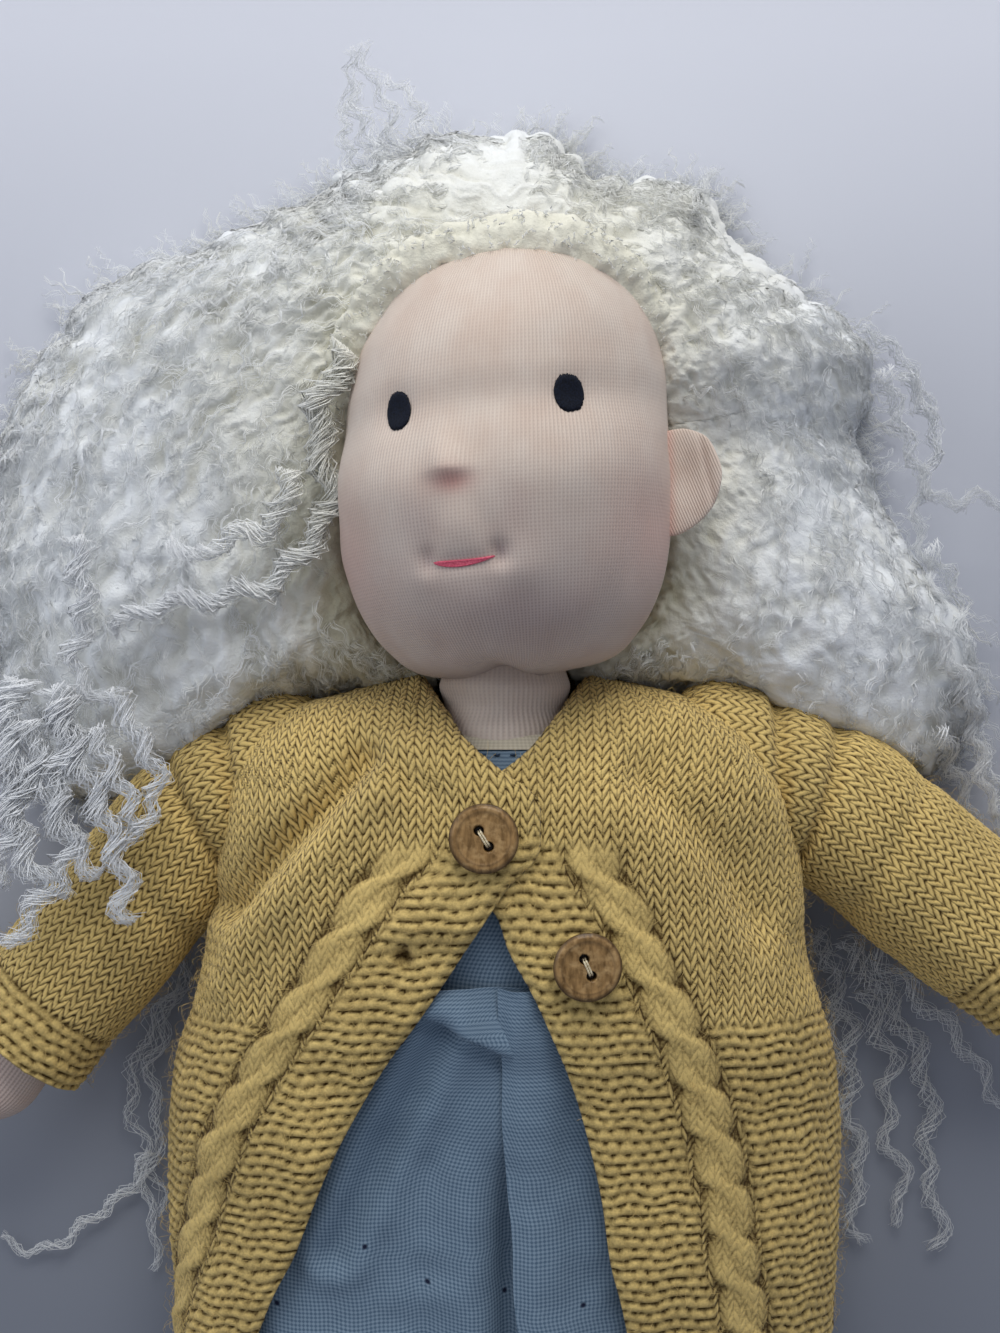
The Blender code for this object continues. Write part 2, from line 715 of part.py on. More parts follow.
# Torso and clothes are rings across the body, worked out from one table each.
def torso_rings(grow, first=0.0, last=1.0, steps=1):
    rows = smooth_rows(TORSO_SHARES, steps)
    places = [a for a in rows[:, 0] if first < a < last]
    rings = []
    for along in [first, *places, last]:
        wide, low, high = read_row(rows, along)
        low_z = TORSO_BACK_Z + low * TORSO_DEPTH
        tall = (high - low) * TORSO_DEPTH
        centre = np.array([0, -TORSO_TOP - along * TORSO_LENGTH, low_z + TORSO_MID_SHARE * tall])
        rings.append(ring(centre, np.array([1.0, 0, 0]), np.array([0, 0, 1.0]),
                          wide * TORSO_WIDTH / 2 + grow, (1 - TORSO_MID_SHARE) * tall + grow,
                          TORSO_MID_SHARE * tall + grow, power=TRUNK_POWER))
    return np.array(rings)


def torso_and_neck(arm_rooms, leg_rooms):
    """The stuffed trunk, and the neck drawn in under the chin by a tied thread."""
    torso = cut(loft("torso", torso_rings(0.0), skin()), *arm_rooms, *leg_rooms)
    neck = neck_cylinder("neck", NECK_RADIUS, -TORSO_TOP + GAP, NECK_UP, skin())
    cut(neck, as_cutter(neck_tie("neck_groove", NECK_TIE_RADIUS + 2 * GAP)))
    return [torso, neck, neck_tie("neck_tie_thread", NECK_TIE_RADIUS)]


def neck_tie(name, thread_radius):
    """A ring of thread round the neck, half sunk into it."""
    side, up = np.array([1.0, 0, 0]), np.array([0, 0, 1.0])
    rings = []
    for angle in 2 * np.pi * np.arange(4) / 4:
        radius = NECK_RADIUS + thread_radius * math.cos(angle)
        centre = np.array([0, NECK_TIE_RISE + thread_radius * math.sin(angle), NECK_Z])
        rings.append(ring(centre, side, up, radius, radius, radius))
    faces = grid_faces(len(rings), ROUND, True)
    last = (len(rings) - 1) * ROUND
    faces += [(last + j, last + (j + 1) % ROUND, (j + 1) % ROUND, j) for j in range(ROUND)]
    return piece(name, np.array(rings).reshape(-1, 3), faces,
                 finish("white_thread", (0.8, 0.8, 0.78)))


def bodice(arm_rooms):
    """The dress's top: a cotton tube round the torso, open at neck, waist and arms."""
    first = (BODICE_TOP - TORSO_TOP) / TORSO_LENGTH
    last = (WAIST_DROP - TORSO_TOP) / TORSO_LENGTH
    outer = torso_rings(GAP + COTTON, first, last)
    inner = torso_rings(GAP, first, last)
    made = thick_sheet("dress_bodice", outer, inner, blue(), wrap=True)
    return cut(made, *arm_rooms)


def neck_binding():
    """The cream binding round the dress's neck, standing on the bodice's edge."""
    place = (BODICE_TOP - TORSO_TOP) / TORSO_LENGTH
    edge = torso_rings(GAP + COTTON, place, place + 0.1)[0]
    inner_edge = torso_rings(GAP, place, place + 0.1)[0]
    lifts = np.linspace(GAP, NECK_BINDING_HEIGHT, 2)[:, None, None]
    draw_in = 1 - NECK_BINDING_LEAN * lifts / (TORSO_WIDTH / 2)
    up = np.array([0, 1.0, 0])
    centre = edge.mean(axis=0)
    outer = centre + (edge - centre)[None] * draw_in + lifts * up
    inner = centre + (inner_edge - centre)[None] * draw_in + lifts * up
    return thick_sheet("neck_binding", outer, inner, finish("cream_binding", (0.72, 0.68, 0.55)),
                       wrap=True)


def skirt_grid(angles, grow):
    """The skirt at the given angles round it: it widens and its folds deepen to the hem."""
    depth = TORSO_DEPTH + 2 * (COTTON + SKIRT_WAIST_EASE)
    waist = TORSO_WIDTH / 2 + COTTON + GAP
    grid = []
    for along, flare, high in SKIRT_SHARES:
        drop = WAIST_DROP + GAP + along * SKIRT_LENGTH
        low_z = cardigan_row(cardigan_along(CARDIGAN_TOP + drop))[1] + KNIT + GAP
        tall = high * depth
        mid = SKIRT_MID_SHARE * tall
        fold = FOLD_DEPTH * min(1.0, 3 * along) * np.cos(2 * FOLDS * angles)
        fold = np.where(np.sin(angles) > 0, fold, 0.0)
        wide = waist + flare * (SKIRT_HALF_WIDTH - waist)
        across = signed_power(np.cos(angles), TRUNK_POWER) * (wide + grow + fold)
        rise = signed_power(np.sin(angles), TRUNK_POWER)
        rise = rise * np.where(rise > 0, tall - mid + grow + fold, mid + grow)
        y = np.full_like(angles, -drop)
        grid.append(np.stack([across, y, low_z + mid + rise], axis=-1))
    return np.array(grid)


def skirt():
    """Two skirt halves that meet at the front pleat and at the centre back."""
    slack = 2 * GAP / SKIRT_HALF_WIDTH
    quarter = np.pi / 2
    made = []
    for name, start in (("left_skirt", -quarter), ("right_skirt", quarter)):
        angles = np.linspace(start + slack, start + np.pi - slack, 21)
        made.append(thick_sheet(name, skirt_grid(angles, 0.0), skirt_grid(angles, -COTTON),
                                blue()))
    return made


# The cardigan's surface is read at any place along it and any distance from the centre.
def cardigan_drop(along):
    """How far below the neckline a place is: the yoke keeps its size, the rest follows the hem."""
    return np.interp(along, (0, YOKE_SHARE, 1), (0, YOKE_LENGTH, CARDIGAN_LENGTH))


def cardigan_along(drop):
    """The place along the cardigan at a drop below the neckline."""
    return np.interp(drop, (0, YOKE_LENGTH, CARDIGAN_LENGTH), (0, YOKE_SHARE, 1))


def cardigan_row(along):
    """Half width, lowest point and height of the cardigan at a place along it."""
    wide, drop, high = read_row(smooth_rows(CARDIGAN_SHARES, 3), along)
    return wide * CARDIGAN_HALF_WIDTH, GAP + drop * HAIR_LAYER, high * CARDIGAN_DEPTH


def cardigan_ring(along, angles, grow):
    half, low_z, tall = cardigan_row(along)
    top_z = min(low_z, GAP + HAIR_LAYER) + tall
    mid_z = low_z + CARDIGAN_MID_SHARE * (top_z - low_z)
    across = signed_power(np.cos(angles), CARDIGAN_POWER) * (half + grow)
    rise = signed_power(np.sin(angles), CARDIGAN_POWER)
    rise = rise * np.where(rise > 0, top_z - mid_z + grow, mid_z - low_z + grow)
    y = np.full_like(angles, CARDIGAN_TOP - cardigan_drop(along))
    return np.stack([across, y, mid_z + rise], axis=-1)


def angle_at(along, x):
    """The angle on the cardigan's front where it is x from the centre line."""
    half = cardigan_row(along)[0]
    share = np.clip(x / half, -0.999, 0.999)
    return np.arccos(signed_power(share, 4 / CARDIGAN_POWER))


def cardigan_places(count):
    """Places along the cardigan, closer together at the shoulders."""
    return np.linspace(0, 1, count) ** SHOULDER_CROWDING


def cardigan_strip(name, places, from_x, to_x, columns, lift, material):
    """A strip of the front between two distances from the centre line, at each place."""
    outer, inner = [], []
    for along in places:
        ends = angle_at(along, from_x(along)), angle_at(along, to_x(along))
        angles = np.linspace(ends[0], ends[1], columns)
        outer.append(cardigan_ring(along, angles, lift(along)))
        inner.append(cardigan_ring(along, angles, lift(along) - KNIT))
    return thick_sheet(name, np.array(outer), np.array(inner), material)


def edge_x(shares):
    rows = np.array(shares)
    return lambda along: CARDIGAN_HALF_WIDTH * np.interp(along, rows[:, 0], rows[:, 1])


def lap_lift(along):
    """How far the buttonhole band stands up where it laps over the button band."""
    rise = np.clip((along - LAP_FROM_SHARE) / LAP_FADE_SHARE + 1, 0, 1)
    fall = np.clip((LAP_TO_SHARE - along) / LAP_FADE_SHARE + 1, 0, 1)
    return LAP * min(rise, fall)


def side_x(sign):
    """The side seam, at the widest place."""
    return lambda along: sign * SIDE_SEAM_SHARE * cardigan_row(along)[0]


def cardigan_fronts(armholes):
    places = cardigan_places(20)
    left_edge, right_edge = edge_x(LEFT_EDGE_SHARES), edge_x(RIGHT_EDGE_SHARES)

    def flat(along):
        return 0.0

    def left_seam(along):
        return min(left_edge(along) + BAND_WIDTH, BAND_LIMIT_SHARE * cardigan_row(along)[0])

    def right_seam(along):
        return max(right_edge(along) - BAND_WIDTH, -BAND_LIMIT_SHARE * cardigan_row(along)[0])

    left_front = cardigan_strip("cardigan_left_front", places, side_x(1),
                                lambda a: left_seam(a) + GAP, 9, flat, ochre())
    right_front = cardigan_strip("cardigan_right_front", places,
                                 lambda a: right_seam(a) - GAP, side_x(-1), 9, flat, ochre())
    button_band = cardigan_strip("button_band", places, left_seam, left_edge, 4, flat, ochre())
    hole_band = cardigan_strip("buttonhole_band", places, right_edge, right_seam, 4, lap_lift,
                               ochre())
    cut(hole_band, buttonhole_cutter(right_edge))
    for front in (left_front, right_front):
        cut(front, *armholes)
    return [left_front, right_front, button_band, hole_band]


def buttonhole_cutter(right_edge):
    along = cardigan_along(CARDIGAN_TOP + BUTTONHOLE_DROP)
    x = right_edge(along) - BAND_WIDTH / 2
    point, normal = cardigan_spot(x, -BUTTONHOLE_DROP, 0.0)
    low = (-BUTTONHOLE_LENGTH / 2, -BUTTONHOLE_WIDTH / 2, -OVERRUN / 2)
    high = (BUTTONHOLE_LENGTH / 2, BUTTONHOLE_WIDTH / 2, OVERRUN / 2)
    made = box_cutter("buttonhole", low, high)
    return stand(made, point, normal)


def cardigan_spot(x, y, lift):
    """A point on the cardigan's front and the direction out of it there."""
    def at(px, py):
        along = cardigan_along(CARDIGAN_TOP - py)
        return cardigan_ring(along, np.array([angle_at(along, px)]), lift)[0]
    here = at(x, y)
    side = at(x + GAP, y) - at(x - GAP, y)
    forth = at(x, y + 4 * GAP) - at(x, y - 4 * GAP)
    normal = np.cross(side, forth)
    return here, normal / np.linalg.norm(normal)


def cardigan_back(armholes):
    """The back, from side seam to side seam under the doll."""
    places = cardigan_places(14)
    slack = math.asin(CARDIGAN_BACK_INSET / CARDIGAN_HALF_WIDTH)
    angles = np.linspace(np.pi + slack, 2 * np.pi - slack, 17)
    outer = np.array([cardigan_ring(a, angles, 0.0) for a in places])
    inner = np.array([cardigan_ring(a, angles, -KNIT) for a in places])
    return cut(thick_sheet("cardigan_back", outer, inner, ochre()), *armholes)


def cardigan_envelope(grow):
    """The cardigan's whole outside as a solid, to clear the hair from it."""
    angles = 2 * np.pi * np.arange(36) / 36
    rings = [cardigan_ring(a, angles, grow + LAP) for a in cardigan_places(20)]
    return as_cutter(loft("cardigan_room", rings, ochre()))


def stand(made, point, normal, spin_deg=0.0):
    """Puts a piece modelled round the origin onto a point, its +Z along the normal."""
    turn = Vector((0, 0, 1)).rotation_difference(Vector(normal)).to_matrix().to_4x4()
    spin = Matrix.Rotation(math.radians(spin_deg), 4, "Z")
    made.data.transform(Matrix.Translation(Vector(point)) @ turn @ spin)
    return made


def button(name, point, normal):
    """A turned coconut disc with a soft rim and two holes."""
    rings = [ring(np.array([0, 0, BUTTON_THICK * z]), np.array([1.0, 0, 0]),
                  np.array([0, 1.0, 0]), *(3 * [BUTTON_RADIUS * r]), count=24)
             for r, z in BUTTON_SHARES]
    disc = loft(name, rings, finish("coconut", (0.20, 0.10, 0.035), 0.45),
                ((0, 0, 0), (0, 0, BUTTON_THICK * BUTTON_FLOOR_SHARE)))
    stand(disc, point, normal, BUTTON_TURN_DEG)
    for side in (-1, 1):
        x = side * BUTTON_HOLE_SPACING / 2
        ends = [ring(np.array([x, 0, z]), np.array([1.0, 0, 0]), np.array([0, 1.0, 0]),
                     *(3 * [BUTTON_HOLE_RADIUS]), count=8)
                for z in (-OVERRUN / 4, OVERRUN / 4)]
        hole = as_cutter(loft(f"{name}_hole_{side + 2}", ends, skin()))
        cut(disc, stand(hole, point, normal, BUTTON_TURN_DEG))
    return disc


def button_thread(name, point, normal):
    """The loop of thread over the button, down through both of its holes."""
    half = BUTTON_HOLE_SPACING / 2
    top = BUTTON_THICK + BUTTON_THREAD_RADIUS
    bend = BUTTON_THREAD_RADIUS
    route = ((-half, 0), (-half, top - 2 * bend), (-half + 0.3 * bend, top - 0.6 * bend),
             (-half + bend, top), (0, top + 0.3 * bend))
    route += tuple((-x, z) for x, z in reversed(route[:-1]))
    path = np.array([(x, 0, z) for x, z in route])
    along = np.gradient(path, axis=0)
    along /= np.linalg.norm(along, axis=1)[:, None]
    side = np.tile(np.array([0, 1.0, 0]), (len(path), 1))
    up = np.cross(side, along)
    rings = [ring(p, s, u, *(3 * [BUTTON_THREAD_RADIUS]), count=6)
             for p, s, u in zip(path, side, up)]
    made = loft(name, rings, finish("cream_thread", (0.74, 0.68, 0.52)))
    return stand(made, point, normal, BUTTON_TURN_DEG)


def buttons():
    spots = (("upper_button", UPPER_BUTTON_X, UPPER_BUTTON_DROP, LAP + GAP),
             ("lower_button", LOWER_BUTTON_X, LOWER_BUTTON_DROP, GAP))
    made = []
    for name, x, drop, lift in spots:
        point, normal = cardigan_spot(x, -drop, lift)
        made.append(button(name, point, normal))
        made.append(button_thread(name + "_thread", point, normal))
    return made


# An arm is worked out in its own frame: the shoulder at the origin, the arm along +X.
def arm_route(distances):
    """Points and directions along the arm's bent centre line, at distances from the shoulder."""
    fine = np.linspace(0, ARM_LENGTH, 400)
    t = np.clip((fine - ARM_BEND_FROM) / (ARM_BEND_TO - ARM_BEND_FROM), 0, 1)
    turn = -math.radians(ARM_BEND_DEG) * t * t * (3 - 2 * t)
    step = fine[1] - fine[0]
    x = np.concatenate([[0], np.cumsum(np.cos(turn[:-1]) * step)])
    y = np.concatenate([[0], np.cumsum(np.sin(turn[:-1]) * step)])
    at = np.asarray(distances)
    direction = np.interp(at, fine, turn)
    points = np.stack([np.interp(at, fine, x), np.interp(at, fine, y), 0 * at], axis=1)
    return points, direction


def arm_pose(side, raised_deg=0.0):
    """From the arm's own frame to the doll's."""
    droop = LEFT_ARM_DROOP_DEG if side > 0 else RIGHT_ARM_DROOP_DEG
    place = Matrix.Translation((side * SHOULDER_X, -SHOULDER_DROP, ARM_Z))
    mirror = Matrix.Diagonal((side, 1, 1, 1))
    return place @ mirror @ Matrix.Rotation(math.radians(raised_deg - droop), 4, "Z")


def limb_rings(points, directions, flat, thick, count=ROUND, sink=0.0):
    """Rings square to a centre line in the XY plane, flat across it and thick in Z."""
    up = np.array([0, 0, 1.0])
    rings = []
    for point, turn, a, b in zip(points, directions, flat, thick):
        side = np.array([math.sin(turn), -math.cos(turn), 0])
        rings.append(ring(point - sink * up, side, up, a, b, b, count))
    return np.array(rings)


def arm_shape(grow, count=ROUND):
    """Rings of the arm: a round shoulder end about the joint, then the swelling arm."""
    radius = ARM_RADIUS + grow
    back = np.array([*DOME_SHARES, 0.0])
    none = np.zeros(len(back))
    lead = np.stack([-back * radius, none, none], axis=1)
    shrink = np.sqrt(1 - back**2)
    rows = smooth_rows(ARM_SHARES, 1)
    points, turns = arm_route(rows[:, 0] * ARM_LENGTH)
    points = np.vstack([lead, points])
    turns = np.concatenate([none, turns])
    flat = np.concatenate([shrink * radius, rows[:, 1] * ARM_RADIUS + grow])
    thick = np.concatenate([(ARM_CAP_SHARE + (1 - ARM_CAP_SHARE) * shrink) * radius,
                            rows[:, 2] * ARM_RADIUS + grow])
    return limb_rings(points, turns, flat, thick, count)


def placed(rings, pose):
    return turned(rings.reshape(-1, 3), pose).reshape(rings.shape)


def sleeve_rings(start, end, radii, grow, steps=6, count=ROUND):
    distances = np.linspace(start, end, steps)
    points, turns = arm_route(distances)
    size = np.interp(distances, (start, end), radii) + grow
    return limb_rings(points, turns, size, size, count, sink=SLEEVE_SAG)


def arm_pieces(side, name):
    pose = arm_pose(side)
    arm = loft(name + "_arm", placed(arm_shape(0.0), pose), skin())
    radii = (SLEEVE_RADIUS, CUFF_RADIUS)
    outer = placed(sleeve_rings(SLEEVE_START, SLEEVE_END, radii, 0.0), pose)
    inner = placed(sleeve_rings(SLEEVE_START, SLEEVE_END, radii, -KNIT), pose)
    sleeve = thick_sheet(name + "_sleeve", outer, inner, ochre(), wrap=True)
    cuff_ends = (SLEEVE_END + GAP, SLEEVE_END + CUFF_LENGTH)
    cuff_radii = (CUFF_RADIUS, CUFF_RADIUS)
    outer = placed(sleeve_rings(*cuff_ends, cuff_radii, 0.0, 2), pose)
    inner = placed(sleeve_rings(*cuff_ends, cuff_radii, -KNIT, 2), pose)
    cuff = thick_sheet(name + "_cuff", outer, inner, ochre(), wrap=True)
    return [arm, sleeve, cuff]


def swing_angles():
    return np.linspace(-ARM_LOWER_DEG, ARM_RAISE_DEG, 4)


def room_grow(radius):
    """How much a room of few sides is grown, so that its flats clear a round piece."""
    return GAP + radius * (1 / math.cos(math.pi / ROOM_ROUND) - 1)


def arm_room(side, name):
    """All that the arm's shoulder end sweeps as it swings, to cut the torso and bodice."""
    shape = arm_shape(room_grow(ARM_RADIUS), ROOM_ROUND)[1:7]
    points = [turned(shape.reshape(-1, 3), arm_pose(side, a)) for a in swing_angles()]
    return hull_cutter(name + "_arm_room", np.vstack(points))


def sleeve_room(side, name):
    """All that the sleeve's upper end sweeps, which is the cardigan's armhole."""
    reach = SLEEVE_START + ARMHOLE_REACH
    radii = (SLEEVE_RADIUS, SLEEVE_RADIUS)
    grow = room_grow(SLEEVE_RADIUS)
    shape = sleeve_rings(SLEEVE_START - GAP, reach, radii, grow, 4, ROOM_ROUND)
    points = [turned(shape.reshape(-1, 3), arm_pose(side, a)) for a in swing_angles()]
    return hull_cutter(name + "_sleeve_room", np.vstack(points))


def sleeve_envelope(side, name):
    """The sleeve, cuff and hand at rest as one solid, to clear the hair from them."""
    ends = (SLEEVE_START - GAP, SLEEVE_END + CUFF_LENGTH + GAP)
    grow = room_grow(SLEEVE_RADIUS) + GAP
    radii = (SLEEVE_RADIUS, CUFF_RADIUS)
    rings = placed(sleeve_rings(*ends, radii, grow, 6, ROOM_ROUND), arm_pose(side))
    arm = placed(arm_shape(grow, ROOM_ROUND), arm_pose(side))
    return [as_cutter(loft(name + "_sleeve_envelope", rings, ochre())),
            as_cutter(loft(name + "_arm_envelope", arm, ochre()))]


# A leg lies along -Y from its hip, and its foot stands up at the end.
def leg_shape(side, grow, count=ROUND):
    radius = LEG_RADIUS + grow
    x = side * HIP_SPACING / 2
    rings = []
    lateral, up = np.array([1.0, 0, 0]), np.array([0, 0, 1.0])
    for back in DOME_SHARES:
        shrink = math.sqrt(1 - back**2)
        centre = np.array([x, -HIP_DROP + back * radius, HIP_Z])
        wide = (LEG_CAP_SHARE + (1 - LEG_CAP_SHARE) * shrink) * radius
        rings.append(ring(centre, lateral, up, wide, shrink * radius, shrink * radius, count))
    rows = smooth_rows(LEG_SHARES, 2)
    path = np.stack([np.full(len(rows), x), -HIP_DROP - rows[:, 0] * LEG_LENGTH,
                     HIP_Z + rows[:, 1] * HEEL_TO_SOLE], axis=1)
    along = np.gradient(path, axis=0)
    along /= np.linalg.norm(along, axis=1)[:, None]
    for point, forward, row in zip(path, along, rows):
        top = np.cross(forward, lateral)
        rings.append(ring(point, lateral, -top if top[2] < 0 else top,
                          row[2] * LEG_RADIUS + grow, row[3] * LEG_RADIUS + grow,
                          row[3] * LEG_RADIUS + grow, count))
    return np.array(rings)


def leg_pieces(table):
    return [cut(loft(name, leg_shape(side, 0.0), skin()), table)
            for side, name in ((1, "left_leg"), (-1, "right_leg"))]


def leg_room(side, name):
    """All that the top of the leg sweeps as it is raised to sit, to cut the torso."""
    shape = leg_shape(side, room_grow(LEG_RADIUS), ROOM_ROUND)[:8].reshape(-1, 3)
    hip = Matrix.Translation((0, -HIP_DROP, HIP_Z))
    points = []
    for angle in np.linspace(0, LEG_RAISE_DEG, 5):
        turn = Matrix.Rotation(math.radians(-angle), 4, "X")
        points.append(turned(shape, hip @ turn @ hip.inverted()))
    return hull_cutter(name, np.vstack(points))


# The falls of hair lie on the table, each a row of upright slices.
def fall_slices(shares, top_y, length, reach, height, side):
    """Slices of a fall: flat below, highest by the head and sloping to the outer edge."""
    rows = smooth_rows(shares, 2)
    t = np.linspace(0, 1, 10)
    curve = (1 - t**FALL_POWER) ** (1 / FALL_POWER)
    slices = []
    for along, outer, inner, tall in rows:
        ripple = 1 + sum(high * math.sin(often * along) for high, often in RIPPLE_SHARES)
        x = side * reach * (inner + (outer * ripple - inner) * t)
        waves = 1 + FALL_WAVE_SHARE * np.sin(2 * np.pi * (FALL_WAVES * t + FALL_WAVE_LEAN * along))
        z = np.maximum(tall * height * curve * waves, 0.0)
        z[-1] = 0.0
        y = top_y - along * length
        lead = np.array([[side * reach * inner, y, 0.0]])
        slices.append(np.vstack([lead, np.stack([x, np.full_like(x, y), z], axis=1)]))
    return np.array(slices)


def hair_falls(rooms, left_rooms, right_rooms):
    right = fall_slices(RIGHT_FALL_SHARES, RIGHT_FALL_TOP, FALL_LENGTH, RIGHT_FALL_REACH,
                        RIGHT_FALL_HEIGHT, -1)
    left = fall_slices(LEFT_FALL_SHARES, LEFT_FALL_TOP, LEFT_FALL_LENGTH, LEFT_FALL_REACH,
                       LEFT_FALL_HEIGHT, 1)
    falls = (("right_hair_fall", right, right_rooms), ("left_hair_fall", left, left_rooms))
    return [cut(loft(name, slices, mohair()), *own, *rooms, solver="MANIFOLD")
            for name, slices, own in falls]


def back_hair(rooms):
    """The layer of hair that the head and the upper back lie on."""
    t = np.linspace(-1, 1, 9)
    slices = []
    for along, wide in smooth_rows(BACK_FALL_SHARES, 1):
        x = wide * BACK_FALL_HALF_WIDTH * t
        z = HAIR_LAYER * (1 - BACK_FALL_EDGE_SHARE * np.abs(t) ** 3)
        y = BACK_FALL_TOP - along * BACK_FALL_LENGTH
        top = np.stack([x, np.full_like(x, y), z], axis=1)
        base = np.array([[x[-1], y, 0.0], [x[0], y, 0.0]])
        slices.append(np.vstack([top, base]))
    return cut(loft("back_hair_fall", np.array(slices), mohair()), *rooms)


def body_axis(name, place):
    """An empty on a joint's axis that carries the pieces of one moving body."""
    made = bpy.data.objects.new(name, None)
    made.empty_display_size = ARM_RADIUS
    made.location = place
    bpy.context.scene.collection.objects.link(made)
    return made


def carry(axis, pieces):
    """Moves the pieces' meshes so that their origins are on the axis, and parents them."""
    back = Matrix.Translation(-Vector(axis.location))
    for made in pieces:
        made.data.transform(back)
        made.parent = axis


def lowest_and_highest():
    """The corners of the box round every piece that isn't a cutter."""
    bpy.context.view_layer.update()
    graph = bpy.context.evaluated_depsgraph_get()
    low, high = np.full(3, np.inf), np.full(3, -np.inf)
    for made in bpy.context.scene.objects:
        if made.type != "MESH" or made.hide_render:
            continue
        mesh = made.evaluated_get(graph).to_mesh()
        points = np.empty(len(mesh.vertices) * 3, np.float32)
        mesh.vertices.foreach_get("co", points)
        points = turned(points.reshape(-1, 3), made.matrix_world)
        low, high = np.minimum(low, points.min(axis=0)), np.maximum(high, points.max(axis=0))
    return low, high


def build():
    clear_scene()
    table = box_cutter("table", (-HUGE, -HUGE, -HUGE), (HUGE, HUGE, 0.0))
    head_outside = as_cutter(head_solid("head_outside", GAP, skin()))
    nape = box_cutter("below_nape", (-HUGE, -HUGE, -HUGE), (HUGE, NAPE_RISE, HUGE))
    face = face_cutter()
    sides = ((1, "left"), (-1, "right"))
    arm_rooms = [arm_room(side, name) for side, name in sides]
    sleeve_rooms = [sleeve_room(side, name) for side, name in sides]
    leg_rooms = [leg_room(side, name + "_leg_room") for side, name in sides]

    core, socket = inner_head()
    wig_pieces = wig(face, nape, table, socket)
    head = core + [head_skin(socket)] + eyes_and_mouth() + ears(head_outside)
    crown_room = as_cutter(hair_crown_solid("crown_room", HAIR_GAP, mohair()))
    head += wig_pieces + [cut(crown_tuft("crown_tuft", 0.0), crown_room)]

    trunk = torso_and_neck(arm_rooms, leg_rooms) + [bodice(arm_rooms)]
    armholes = arm_rooms + sleeve_rooms
    trunk += [neck_binding()] + skirt() + [cardigan_back(armholes)]
    trunk += cardigan_fronts(armholes) + buttons()

    tuft_room = as_cutter(crown_tuft("tuft_room", HAIR_GAP))
    hair_rooms = [crown_room, cardigan_envelope(HAIR_GAP)]
    left_rooms, right_rooms = (sleeve_envelope(side, name) for side, name in sides)
    right_rooms = [tuft_room, *right_rooms]
    trunk += hair_falls(hair_rooms, left_rooms, right_rooms) + [back_hair([crown_room])]

    left_arm, right_arm = arm_pieces(1, "left"), arm_pieces(-1, "right")
    left_leg, right_leg = leg_pieces(table)

    whole = body_axis("doll", (0, 0, 0))
    shoulder_y, hip_y, hip_x = -SHOULDER_DROP, -HIP_DROP, HIP_SPACING / 2
    axes = (
        ("neck_axis", (0, NECK_UP, NECK_Z), head),
        ("left_shoulder_axis", (SHOULDER_X, shoulder_y, ARM_Z), left_arm),
        ("right_shoulder_axis", (-SHOULDER_X, shoulder_y, ARM_Z), right_arm),
        ("left_hip_axis", (hip_x, hip_y, HIP_Z), [left_leg]),
        ("right_hip_axis", (-hip_x, hip_y, HIP_Z), [right_leg]),
    )
    made_axes = []
    for name, place, pieces in axes:
        made_axes.append(body_axis(name, place))
        carry(made_axes[-1], pieces)
    for made in bpy.context.scene.objects:
        if made.parent is None and made is not whole:
            made.parent = whole
    low, high = lowest_and_highest()
    whole.location = (-(low[0] + high[0]) / 2, -(low[1] + high[1]) / 2, -low[2])
    bpy.context.view_layer.update()
    print("size", np.round(high - low, 4))
    for axis in made_axes:
        print(axis.name, np.round(np.array(axis.matrix_world.translation), 5))


build()
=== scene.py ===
# %% [markdown]
# # A soft doll with long mohair hair, lying on its back
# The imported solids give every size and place. This script dresses them: it knits the
# wool, weaves the cotton, stretches the face's tricot and lays the curls, each as its
# own surface worked out with numpy, and then lights them for a photograph from above.

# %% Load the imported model
import json
import math

import bpy
import numpy as np
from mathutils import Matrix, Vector


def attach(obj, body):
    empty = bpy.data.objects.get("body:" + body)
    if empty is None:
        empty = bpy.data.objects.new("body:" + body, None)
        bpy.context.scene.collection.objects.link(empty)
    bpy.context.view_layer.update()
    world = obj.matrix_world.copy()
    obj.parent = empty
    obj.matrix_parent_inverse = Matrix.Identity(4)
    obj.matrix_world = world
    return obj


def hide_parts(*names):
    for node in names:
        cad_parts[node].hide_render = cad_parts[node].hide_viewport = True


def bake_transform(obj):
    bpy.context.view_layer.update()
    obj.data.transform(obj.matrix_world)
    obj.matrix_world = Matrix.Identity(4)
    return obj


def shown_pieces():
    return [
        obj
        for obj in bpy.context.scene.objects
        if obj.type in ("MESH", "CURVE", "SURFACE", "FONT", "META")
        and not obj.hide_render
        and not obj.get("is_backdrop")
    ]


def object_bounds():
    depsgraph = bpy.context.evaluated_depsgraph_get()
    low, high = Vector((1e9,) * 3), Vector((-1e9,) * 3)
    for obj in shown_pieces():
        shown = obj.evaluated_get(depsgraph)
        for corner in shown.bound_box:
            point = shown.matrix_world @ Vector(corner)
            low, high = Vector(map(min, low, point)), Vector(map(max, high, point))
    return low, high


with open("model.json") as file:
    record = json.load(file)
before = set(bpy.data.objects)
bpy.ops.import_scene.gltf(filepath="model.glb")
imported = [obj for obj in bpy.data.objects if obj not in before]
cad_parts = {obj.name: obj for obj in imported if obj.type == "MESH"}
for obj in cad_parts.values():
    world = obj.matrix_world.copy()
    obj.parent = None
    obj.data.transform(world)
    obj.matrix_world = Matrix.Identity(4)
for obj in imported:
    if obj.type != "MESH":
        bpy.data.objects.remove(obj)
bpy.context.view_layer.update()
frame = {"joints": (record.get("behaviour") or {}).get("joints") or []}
joints = {j["name"]: np.array(j["pos_m"]) for j in frame["joints"]}
MM = 0.001
NECK_UP, NECK_Z = 17, 40
SHIFT = joints["head_turn"] - np.array([0, NECK_UP, NECK_Z]) * MM
rng = np.random.default_rng(7)

